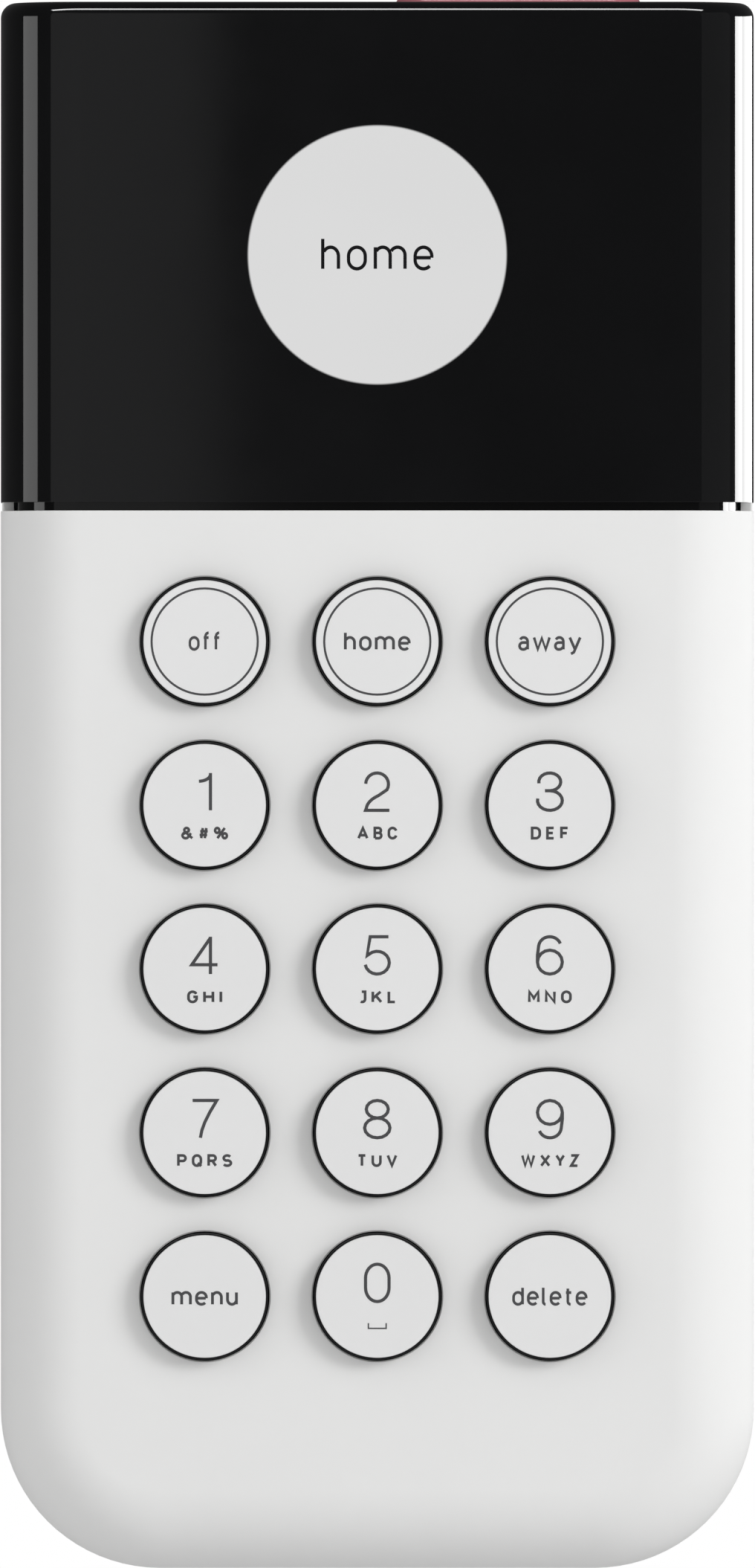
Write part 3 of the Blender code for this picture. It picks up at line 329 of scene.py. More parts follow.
def plan_outline(inset, back, radius=None):
    """The outline from above, with the rounded front edges and a square back."""
    radius = FRONT_ROUNDOVER - inset if radius is None else radius
    return rounded((-half_width + inset, front_face + inset), (half_width - inset, back),
                   (radius, radius, 0, 0))


def column(outline, bottom, top):
    """An upright solid on an outline in X and Y."""
    return loft([standing(outline, bottom), standing(outline, top)])


def middle(node):
    """The centre of a CAD node."""
    low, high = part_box(node)
    return (low + high) / 2


rear_rim = head_high.y + ROCKING_GAP
front_rim = rear_rim - PARTING_GAP
housing_outer = domed_shell(0.0, front_low.z, front_high.z, front_rim, front_face, FRONT_ROUNDOVER)
housing_outer = edges_broken(housing_outer, EDGE_BREAK)
housing_hollow = domed_shell(FRONT_WALL, front_low.z, front_high.z + CUT_SPARE, front_rim + CUT_SPARE,
                             front_face + FRONT_WALL, FRONT_ROUNDOVER - FRONT_WALL)
rim_space = column(plan_outline(RIM_WALL, front_rim + CUT_SPARE),
                   collar_low.z - FIT_GAP, front_high.z + CUT_SPARE)
key_holes = []
for key_name in KEY_NAMES:
    centre = middle(key_name)
    key_holes.append(turned([
        (KEY_HOLE_RADIUS, front_face + FRONT_WALL + CUT_SPARE),
        (KEY_HOLE_RADIUS, front_face + HOLE_BREAK),
        (KEY_HOLE_RADIUS + HOLE_BREAK, front_face),
        (KEY_HOLE_RADIUS + HOLE_BREAK, front_face - CUT_SPARE),
    ], centre.x, centre.z))
posts = []
post_bores = []
for screw_name in ("case_screw_left", "case_screw_right"):
    low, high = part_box(screw_name)
    centre = middle(screw_name)
    posts.append(turned([(POST_RADIUS, high.y - POST_START), (POST_RADIUS, front_face + FRONT_WALL / 2)],
                        centre.x, centre.z, POST_SIDES))
    post_bores.append(turned([(POST_BORE, high.y), (POST_BORE, low.y - POST_SPARE)],
                             centre.x, centre.z, POST_SIDES))
white_plastic = moulded_plastic("white_textured_plastic", WHITE, 0.62, mottle=0.008, specular=0.15)
front_solid = plus(minus(housing_outer, housing_hollow, rim_space), together(posts))
front_solid = minus(front_solid, together(key_holes), together(post_bores))
front_housing = finished("front_housing_shell", front_solid, white_plastic)
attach(front_housing, "housing")
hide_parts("front_housing")


# ------------------------------------------------------------------ rear housing
# The white tray behind it, moulded in the same plastic: a soft back edge, the battery bay, the slots
# for the wall plate's hooks and the cups for the case screws. Its rim shows beside the black collar.

BACK_ROUNDOVER = 1.6 * MM
BACK_STEPS = 7
TOP_CORNER = 1.4 * MM
REAR_WALL = 1.1 * MM
BACK_WALL = 1.4 * MM
BAY_WALL = 1.2 * MM
TONGUE_INSET = 1.7 * MM
TONGUE_WALL = 0.9 * MM
TONGUE_RISE = 2.6 * MM
CUP_RADIUS = 3.7 * MM
CUP_HEAD_RADIUS = 2.3 * MM
CUP_SHANK_RADIUS = 1.3 * MM
CUP_SHOULDER = 1.9 * MM
SLOT_HALF_WIDTH = 4.3 * MM
SLOT_BELOW_HOOK = 8.3 * MM
SLOT_ABOVE_HOOK = 3.3 * MM
HOOK_X = 14.0 * MM
HOOK_BELOW_TOP = 17.7 * MM
HOOK_ABOVE_BOTTOM = 19.7 * MM
SCREW_NAMES = ("case_screw_left", "case_screw_right", "chassis_screw_left", "chassis_screw_right")

rear_low, rear_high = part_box("rear_housing")
rear_back = rear_high.y
rear_inside = rear_back - BACK_WALL
bay_front = rear_low.y
cup_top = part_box("rocker_base")[1].y + FIT_GAP
bay_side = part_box("battery_4")[1].x + FIT_GAP
bay_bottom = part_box("battery_contact_2")[0].z - FIT_GAP
bay_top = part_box("battery_contact_1")[1].z + FIT_GAP


def tray_outline(inset):
    """The tray's outline from the front, with its four round corners."""
    bottom = BOTTOM_CORNER - inset
    top = max(TOP_CORNER + BACK_ROUNDOVER - inset, TOP_CORNER / 2)
    return rounded((-half_width + inset, rear_low.z + inset), (half_width - inset, rear_high.z - inset),
                   (bottom, bottom, top, top))


def tray_shell():
    """The tray itself: a rounded back edge and an even wall, open to the front."""
    rings = []
    for step in range(BACK_STEPS + 1):
        angle = math.radians(90 * step / BACK_STEPS)
        inset = BACK_ROUNDOVER * (1 - math.sin(angle))
        rings.append(facing(tray_outline(inset), rear_back - BACK_ROUNDOVER * (1 - math.cos(angle))))
    rings.append(facing(tray_outline(0.0), rear_rim))
    outer = edges_broken(loft(rings), EDGE_BREAK)
    hollow = loft([facing(tray_outline(REAR_WALL), y) for y in (rear_inside, rear_rim - CUT_SPARE)])
    return minus(outer, hollow)


def tongue():
    """The low wall inside the head's rim that hides what is behind the gap."""
    top = rear_rim - TONGUE_RISE
    ring = loft([facing(tray_outline(TONGUE_INSET), y) for y in (rear_inside + BACK_WALL / 2, top)])
    inner_outline = tray_outline(TONGUE_INSET + TONGUE_WALL)
    inner = loft([facing(inner_outline, y) for y in (rear_back, top - CUT_SPARE)])
    below = block((-2 * half_width, rear_back + CUT_SPARE, 2 * rear_low.z),
                  (2 * half_width, top - CUT_SPARE, collar_high.z + FIT_GAP))
    return minus(ring, inner, below)


hook_heights = (rear_high.z - HOOK_BELOW_TOP, rear_low.z + HOOK_ABOVE_BOTTOM)
hook_places = [(side * HOOK_X, z) for side in (-1, 1) for z in hook_heights]
screw_places = [middle(name) for name in SCREW_NAMES]
bay_solid = block((-bay_side - BAY_WALL, rear_inside + BACK_WALL / 2, bay_bottom - BAY_WALL),
                  (bay_side + BAY_WALL, bay_front, bay_top + BAY_WALL))
bay_space = block((-bay_side, rear_back + CUT_SPARE, bay_bottom),
                  (bay_side, bay_front + BAY_WALL, bay_top))
cups = [turned([(CUP_RADIUS, rear_inside + BACK_WALL / 2), (CUP_RADIUS, cup_top)],
               place.x, place.z, POST_SIDES) for place in screw_places]
bores = [turned([
    (CUP_HEAD_RADIUS, rear_back + CUT_SPARE),
    (CUP_HEAD_RADIUS, rear_back - CUP_SHOULDER),
    (CUP_SHANK_RADIUS, rear_back - CUP_SHOULDER),
    (CUP_SHANK_RADIUS, cup_top - CUT_SPARE),
], place.x, place.z, POST_SIDES) for place in screw_places]
slots = [block((x - SLOT_HALF_WIDTH, rear_back + CUT_SPARE, z - SLOT_BELOW_HOOK),
               (x + SLOT_HALF_WIDTH, rear_inside - FIT_GAP, z + SLOT_ABOVE_HOOK)) for x, z in hook_places]
rear_solid = plus(tray_shell(), bay_solid, tongue(), together(cups))
rear_solid = minus(rear_solid, bay_space, together(bores), together(slots))
rear_housing = finished("rear_housing_tray", rear_solid, white_plastic)
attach(rear_housing, "housing")
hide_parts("rear_housing")


# ------------------------------------------------------------------ wall plate
# The thin moulded plate that stays on the wall: four hooks for the keypad, two countersunk screw holes,
# two pockets for foam pads and a field of shallow stiffening ribs on the side that faces the wall.

PLATE_EDGE = 0.3 * MM
PLATE_INSET = 3.0 * MM
HOOK_WIDTH = 8.0 * MM
HOOK_STEM = 3.0 * MM
HOOK_LIP = 5.0 * MM
HOOK_THICKNESS = 1.4 * MM
HOOK_EDGE = 0.3 * MM
HOOK_ROOT = 0.5 * MM
SCREW_HOLE = 2.2 * MM
SCREW_SINK = 4.2 * MM
SCREW_SLOPE = 0.7
SCREW_BELOW_TOP = 17.7 * MM
SINK_SIDES = 48
PAD_NAMES = ("adhesive_pad_upper", "adhesive_pad_lower")
PAD_POCKET = 0.9 * MM
POCKET_CORNER = 2.3 * MM
POCKET_STEPS = 6
RIB_FIELD_DEPTH = 0.6 * MM
RIB_FIELD_X = 22.0 * MM
RIB_FIELD_WIDTH = 14.0 * MM
RIB_FIELD_BOTTOM = -54.0 * MM
RIB_FIELD_TOP = 62.0 * MM
RIB_PITCH = 4.0 * MM
RIB_THICKNESS = 0.8 * MM
RIB_END_GAP = 0.4 * MM
RIB_SINK = 0.6

plate_low, plate_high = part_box("wall_plate")
plate_front = rear_back + FIT_GAP
plate_hole_z = plate_high.z - SCREW_BELOW_TOP


def plate_hook(x, z):
    """A hook on the plate's front: a stem and an upright lip."""
    lip_front = rear_inside - FIT_GAP - HOOK_THICKNESS
    stem = block((x - HOOK_WIDTH / 2, plate_front + HOOK_ROOT, z),
                 (x + HOOK_WIDTH / 2, lip_front, z + HOOK_STEM))
    lip = block((x - HOOK_WIDTH / 2, rear_inside - FIT_GAP, z + HOOK_STEM / 2),
                (x + HOOK_WIDTH / 2, lip_front, z + HOOK_STEM + HOOK_LIP))
    return edges_broken(plus(stem, lip), HOOK_EDGE, where=lambda point: point.y < plate_front - HOOK_EDGE)


def sunk_hole(z):
    """The cutter for a countersunk screw hole on the plate's middle line."""
    slope = (SCREW_SINK - SCREW_HOLE) * SCREW_SLOPE
    return turned([(SCREW_HOLE, CUT_SPARE), (SCREW_HOLE, plate_front + slope), (SCREW_SINK, plate_front),
                   (SCREW_SINK, plate_front - CUT_SPARE)], 0.0, z, SINK_SIDES)


def pocket(low, high, depth):
    """The cutter for a pocket with round corners in the plate's back."""
    outline = rounded((low.x, low.z), (high.x, high.z), (POCKET_CORNER,) * 4, POCKET_STEPS)
    return loft([facing(outline, y) for y in (CUT_SPARE, -depth)])


bottom_corner = BOTTOM_CORNER - PLATE_INSET
plate_outline = rounded((plate_low.x, plate_low.z), (plate_high.x, plate_high.z),
                        (bottom_corner, bottom_corner, PLATE_INSET, PLATE_INSET))
plate_solid = loft([facing(plate_outline, 0.0), facing(plate_outline, plate_front)])
plate_solid = edges_broken(plate_solid, PLATE_EDGE)
plate_solid = plus(plate_solid, together([plate_hook(x, z) for x, z in hook_places]))
gap = Vector((FIT_GAP, 0, FIT_GAP))
pads = [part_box(name) for name in PAD_NAMES]
plate_solid = minus(plate_solid, together([sunk_hole(side * plate_hole_z) for side in (-1, 1)]),
                    together([pocket(low - gap, high + gap, PAD_POCKET) for low, high in pads]))


def socket_of(tree, name):
    """The identifier of a node tree's input."""
    for item in tree.interface.items_tree:
        if item.item_type == "SOCKET" and item.in_out == "INPUT" and item.name == name:
            return item.identifier
    raise KeyError(name)


def new_tree(name, inputs):
    """An empty geometry tree with named inputs, and its input and output nodes."""
    tree = bpy.data.node_groups.new(name, "GeometryNodeTree")
    for label, kind, value in inputs:
        socket = tree.interface.new_socket(label, in_out="INPUT", socket_type=kind)
        if value is not None:
            socket.default_value = value
    tree.interface.new_socket("Geometry", in_out="OUTPUT", socket_type="NodeSocketGeometry")
    return tree, tree.nodes.new("NodeGroupInput"), tree.nodes.new("NodeGroupOutput")


def closed_tree(tree, source, start, end):
    """Ends a tree: real geometry, then its material."""
    real = tree.nodes.new("GeometryNodeRealizeInstances")
    paint = tree.nodes.new("GeometryNodeSetMaterial")
    tree.links.new(source, real.inputs["Geometry"])
    tree.links.new(real.outputs["Geometry"], paint.inputs["Geometry"])
    tree.links.new(start.outputs["Material"], paint.inputs["Material"])
    tree.links.new(paint.outputs["Geometry"], end.inputs["Geometry"])


def grown(name, tree, values):
    """The plain mesh that a tree makes with these inputs, as an object with no modifier."""
    item = placed(name, bpy.data.meshes.new(name))
    modifier = item.modifiers.new("grow", "NODES")
    modifier.node_group = tree
    for label, value in values.items():
        modifier[socket_of(tree, label)] = value
    mesh = bpy.data.meshes.new_from_object(item.evaluated_get(bpy.context.evaluated_depsgraph_get()))
    item.modifiers.clear()
    item.data = mesh
    mesh.shade_smooth()
    mesh.set_sharp_from_angle(angle=SHARP_ANGLE)
    return item


def rib_tree():
    """A column of equal bars, one every pitch, going up from its start."""
    tree, start, end = new_tree("rib_column", (
        ("Count", "NodeSocketInt", 10), ("Pitch", "NodeSocketFloat", RIB_PITCH),
        ("Bar", "NodeSocketVector", None), ("Start", "NodeSocketVector", None),
        ("Material", "NodeSocketMaterial", None)))
    line = tree.nodes.new("GeometryNodeMeshLine")
    step = tree.nodes.new("ShaderNodeCombineXYZ")
    bar = tree.nodes.new("GeometryNodeMeshCube")
    spread = tree.nodes.new("GeometryNodeInstanceOnPoints")
    tree.links.new(start.outputs["Count"], line.inputs["Count"])
    tree.links.new(start.outputs["Start"], line.inputs["Start Location"])
    tree.links.new(start.outputs["Pitch"], step.inputs["Z"])
    tree.links.new(step.outputs["Vector"], line.inputs["Offset"])
    tree.links.new(start.outputs["Bar"], bar.inputs["Size"])
    tree.links.new(line.outputs["Mesh"], spread.inputs["Points"])
    tree.links.new(bar.outputs["Mesh"], spread.inputs["Instance"])
    closed_tree(tree, spread.outputs["Instances"], start, end)
    return tree


fields = []
for side in (-1, 1):
    low = Vector((side * RIB_FIELD_X - RIB_FIELD_WIDTH / 2, 0, RIB_FIELD_BOTTOM))
    high = Vector((side * RIB_FIELD_X + RIB_FIELD_WIDTH / 2, 0, RIB_FIELD_TOP))
    fields.append(pocket(low, high, RIB_FIELD_DEPTH))
plate_solid = minus(plate_solid, together(fields))
wall_plate = finished("wall_plate_moulding", plate_solid, white_plastic)
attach(wall_plate, "wall_plate_body")
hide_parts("wall_plate")

rib_bars = rib_tree()
rib_count = int((RIB_FIELD_TOP - RIB_FIELD_BOTTOM) / RIB_PITCH) - 1
for side, label in ((-1, "left"), (1, "right")):
    ribs = grown(f"wall_plate_ribs_{label}", rib_bars, {
        "Count": rib_count,
        "Bar": (RIB_FIELD_WIDTH - 2 * RIB_END_GAP, RIB_FIELD_DEPTH, RIB_THICKNESS),
        "Start": (side * RIB_FIELD_X, -RIB_FIELD_DEPTH * RIB_SINK, RIB_FIELD_BOTTOM + RIB_PITCH),
        "Material": white_plastic,
    })
    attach(ribs, "wall_plate_body")


# ------------------------------------------------------------------ adhesive pads
# Two grey foam pads in the plate's pockets that stick it to the wall: closed-cell foam, die-cut with
# round corners, its fine round cells open on every side.

PAD_CORNER = 2.0 * MM
PAD_CORNER_STEPS = 8
PAD_EDGE = 0.15 * MM
PAD_EDGE_SEGMENTS = 2
FOAM_GREY = (0.5, 0.5, 0.5)
FOAM_CELL = 0.4 * MM
FOAM_CELL_DEPTH = 0.08 * MM


def celled_foam(name, colour, roughness):
    """Foam: round cells as a relief in a faintly mottled colour."""
    finish = moulded_plastic(name, colour, roughness, mottle=0.06, grain_size=1.2 * MM, grain=0.0)
    tree = finish.node_tree
    cells = shader_node(tree, "ShaderNodeTexVoronoi", Scale=1 / FOAM_CELL)
    tree.links.new(node_of(finish, "ShaderNodeTexCoord").outputs["Object"], cells.inputs["Vector"])
    raised(finish, cells.outputs["Distance"], strength=0.6, distance=FOAM_CELL_DEPTH, sunk=True)
    return finish


foam = celled_foam("grey_foam", FOAM_GREY, roughness=0.9)
for pad_name, (low, high) in zip(PAD_NAMES, pads):
    outline = rounded((low.x, low.z), (high.x, high.z), (PAD_CORNER,) * 4, PAD_CORNER_STEPS)
    pad_solid = loft([facing(outline, high.y), facing(outline, low.y)])
    pad_solid = edges_broken(pad_solid, PAD_EDGE, PAD_EDGE_SEGMENTS)
    pad = finished(f"{pad_name}_foam", pad_solid, foam)
    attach(pad, "wall_plate_body")
    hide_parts(pad_name)


# ------------------------------------------------------------------ neck collar
# The glossy black neck between the housing and the head: a thin moulded ring with rounded front
# corners. It is fixed to the housing and goes up inside the head.

COLLAR_INSET = 1.6 * MM
COLLAR_WALL = 1.2 * MM
COLLAR_CORNER = 5.4 * MM
COLLAR_EDGE = 0.15 * MM
GLOSS_BLACK = (0.0035, 0.0036, 0.004)

black_gloss = moulded_plastic("black_gloss_plastic", GLOSS_BLACK, roughness=0.05, mottle=0.15,
                              grain_size=6.0 * MM, grain=0.012, gloss_drift=0.015)
collar_outline = plan_outline(COLLAR_INSET, collar_high.y, radius=COLLAR_CORNER)
collar_hollow = plan_outline(COLLAR_INSET + COLLAR_WALL, collar_high.y - COLLAR_WALL,
                             radius=COLLAR_CORNER - COLLAR_WALL)
collar_solid = edges_broken(column(collar_outline, collar_low.z, collar_high.z), COLLAR_EDGE)
collar_solid = minus(collar_solid,
                     column(collar_hollow, collar_low.z - CUT_SPARE, collar_high.z + CUT_SPARE))
neck_collar = finished("neck_collar_ring", collar_solid, black_gloss)
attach(neck_collar, "housing")
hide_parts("neck_collar")


# ------------------------------------------------------------------ head cap
# The rocking head: one high-gloss black moulding with rounded vertical edges, a tight rounded top and
# a slot for the panic button. The round display glows through it: a lit disc with a soft edge.

TOP_ROUNDOVER = 1.4 * MM
TOP_STEPS = 10
HEAD_WALL = 1.0 * MM
RIM_BREAK = 0.2 * MM
DISPLAY_RADIUS = 11.98 * MM
DISPLAY_BLEED = 0.12 * MM
DISPLAY_DEPTH = 0.1 * MM
DISPLAY_GLOW = 0.70
DISPLAY_DRIFT = 0.015
PANIC_LENGTH = 22.7 * MM
PANIC_WIDTH = 8.0 * MM
PANIC_END_FLAT = 0.2 * MM
PANIC_END_STEPS = 16
PANIC_SLOT_BREAK = 0.1 * MM

head_face = head_low.y
display_centre = middle("display_diffuser")
panic_low, panic_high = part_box("panic_button")
panic_centre = middle("panic_button")


def head_form(inset, bottom, edge, back):
    """The head's outer or inner form, with its rounded top edge."""
    top = head_high.z - inset
    rings = [standing(plan_outline(inset, back), bottom)]
    for step in range(TOP_STEPS + 1):
        angle = math.radians(90 * step / TOP_STEPS)
        further = inset + edge * (1 - math.cos(angle))
        rings.append(standing(plan_outline(further, back), top - edge * (1 - math.sin(angle))))
    return loft(rings)


def panic_outline(growth):
    """The panic button's long outline with round ends, grown or shrunk all round."""
    half = Vector((PANIC_LENGTH / 2 + growth, PANIC_WIDTH / 2 + growth))
    radius = half.y - PANIC_END_FLAT / 2
    return rounded((panic_centre.x - half.x, panic_centre.y - half.y),
                   (panic_centre.x + half.x, panic_centre.y + half.y), (radius,) * 4, PANIC_END_STEPS)


head_outer = head_form(0.0, head_low.z, TOP_ROUNDOVER, head_high.y)
head_outer = edges_broken(head_outer, RIM_BREAK, where=lambda point: (
    point.z < head_low.z + RIM_BREAK or point.y > head_high.y - RIM_BREAK))
head_inner = head_form(HEAD_WALL, head_low.z - CUT_SPARE, TOP_ROUNDOVER - HEAD_WALL,
                       head_high.y + CUT_SPARE)
panic_slot = loft([
    standing(panic_outline(FIT_GAP), head_high.z - HEAD_WALL - CUT_SPARE),
    standing(panic_outline(FIT_GAP), head_high.z - PANIC_SLOT_BREAK),
    standing(panic_outline(FIT_GAP + PANIC_SLOT_BREAK), head_high.z),
    standing(panic_outline(FIT_GAP + PANIC_SLOT_BREAK), head_high.z + CUT_SPARE),
])


def worked(tree, operation, first, second):
    """The result of a sum on two outputs, or on an output and a number."""
    node = tree.nodes.new("ShaderNodeMath")
    node.operation = operation
    tree.links.new(first, node.inputs[0])
    if isinstance(second, float):
        node.inputs[1].default_value = second
    else:
        tree.links.new(second, node.inputs[1])
    return node.outputs["Value"]


def lit_window(name):
    """Gloss black that glows in a round window on the face: the display behind a smoked front."""
    finish = black_gloss.copy()
    finish.name = name
    tree = finish.node_tree
    shader = tree.nodes["Principled BSDF"]
    place = node_of(finish, "ShaderNodeTexCoord")
    parts = tree.nodes.new("ShaderNodeSeparateXYZ")
    tree.links.new(place.outputs["Object"], parts.inputs["Vector"])
    flat = tree.nodes.new("ShaderNodeCombineXYZ")
    tree.links.new(parts.outputs["X"], flat.inputs["X"])
    tree.links.new(parts.outputs["Z"], flat.inputs["Z"])
    away = tree.nodes.new("ShaderNodeVectorMath")
    away.operation = "DISTANCE"
    away.inputs[1].default_value = (display_centre.x, 0.0, display_centre.z)
    tree.links.new(flat.outputs["Vector"], away.inputs[0])
    disc = shader_node(tree, "ShaderNodeMapRange", From_Min=DISPLAY_RADIUS + DISPLAY_BLEED,
                       From_Max=DISPLAY_RADIUS - DISPLAY_BLEED)
    disc.interpolation_type = "SMOOTHSTEP"
    tree.links.new(away.outputs["Value"], disc.inputs["Value"])
    front = worked(tree, "LESS_THAN", parts.outputs["Y"], head_face + DISPLAY_DEPTH)
    window = worked(tree, "MULTIPLY", disc.outputs["Result"], front)
    unevenness = shader_node(tree, "ShaderNodeTexNoise", Scale=90.0, Detail=1.0)
    tree.links.new(place.outputs["Object"], unevenness.inputs["Vector"])
    level = shader_node(tree, "ShaderNodeMapRange", To_Min=DISPLAY_GLOW * (1 - DISPLAY_DRIFT),
                        To_Max=DISPLAY_GLOW * (1 + DISPLAY_DRIFT))
    tree.links.new(unevenness.outputs["Fac"], level.inputs["Value"])
    glow = worked(tree, "MULTIPLY", window, level.outputs["Result"])
    shader.inputs["Emission Color"].default_value = (1.0, 1.0, 1.0, 1.0)
    tree.links.new(glow, shader.inputs["Emission Strength"])
    return finish


head_solid = minus(head_outer, head_inner, panic_slot)
head_cap = finished("head_cap_shell", head_solid, lit_window("black_gloss_lit"))
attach(head_cap, "head")
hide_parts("head_cap")


# ------------------------------------------------------------------ panic button
# The long red button in the head's top, moulded in dark red gloss plastic: round ends, a soft top edge
# and a flange under the head's skin that keeps it in.

PANIC_FLANGE = 0.9 * MM
PANIC_FLANGE_THICKNESS = 1.0 * MM
PANIC_STEM_INSET = 1.5 * MM
PANIC_EDGE = 0.45 * MM
PANIC_EDGE_STEPS = 6
DARK_RED = (0.46, 0.15, 0.18)

red_plastic = moulded_plastic("dark_red_plastic", DARK_RED, roughness=0.25, mottle=0.05, grain=0.02)
flange_top = head_high.z - HEAD_WALL - FIT_GAP
flange_bottom = flange_top - PANIC_FLANGE_THICKNESS
panic_rings = [
    standing(panic_outline(-PANIC_STEM_INSET), panic_low.z),
    standing(panic_outline(-PANIC_STEM_INSET), flange_bottom),
    standing(panic_outline(PANIC_FLANGE), flange_bottom),
    standing(panic_outline(PANIC_FLANGE), flange_top),
    standing(panic_outline(0.0), flange_top),
]
for step in range(PANIC_EDGE_STEPS + 1):
    angle = math.radians(90 * step / PANIC_EDGE_STEPS)
    panic_rings.append(standing(panic_outline(-PANIC_EDGE * (1 - math.cos(angle))),
                                panic_high.z - PANIC_EDGE * (1 - math.sin(angle))))
panic_button = finished("panic_button_cap", loft(panic_rings), red_plastic)
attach(panic_button, "panic")
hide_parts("panic_button")


# ------------------------------------------------------------------ keys
# Fifteen round keys: a satin black moulded ring with a flange and a stem, and a matt white cap set in
# it that carries the printed legend. The three keys of the first row also have a printed fine ring.

KEY_RADIUS = 5.87 * MM
KEY_EDGE = 0.1 * MM
KEY_EDGE_STEPS = 4
KEY_FLANGE_RADIUS = 6.6 * MM
KEY_FLANGE_THICKNESS = 0.8 * MM
KEY_FLANGE_DROP = 3.6 * MM
KEY_STEM_RADIUS = 2.0 * MM
KEY_STEM_BREAK = 0.15 * MM
CAP_RADIUS = 5.7 * MM
CAP_RECESS = 0.03 * MM
CAP_DEPTH = 0.5 * MM
CAP_FIT = 0.01 * MM
CAP_EDGE = 0.03 * MM
PRINT_THICKNESS = 0.012 * MM
PRINT_LIFT = 0.004 * MM
RING_RADIUS = 4.92 * MM
RING_WIDTH = 0.2 * MM
RING_SIDES = 72
DIGIT_BASE = -0.62 * MM
DIGIT_HEIGHT = 3.76 * MM
DIGIT_STROKE = 0.3 * MM
CAPITAL_BASE = -3.18 * MM
CAPITAL_HEIGHT = 1.2 * MM
CAPITAL_STROKE = 0.25 * MM
WORD_BASE = -0.86 * MM
WORD_HEIGHT = 1.8 * MM
WORD_STROKE = 0.262 * MM
SPACE_BASE = -3.02 * MM
SPACE_HEIGHT = 1.1 * MM
SPACE_STROKE = 0.13 * MM
STROKE_STEP = 0.002 * MM
CURVE_STEPS = 16
SAME_POINT = 0.01
CLOSED_SHARE = 0.1
SHARPEST_MITRE = 0.45
PRINTED_RING_KEYS = ("key_off", "key_home", "key_away")

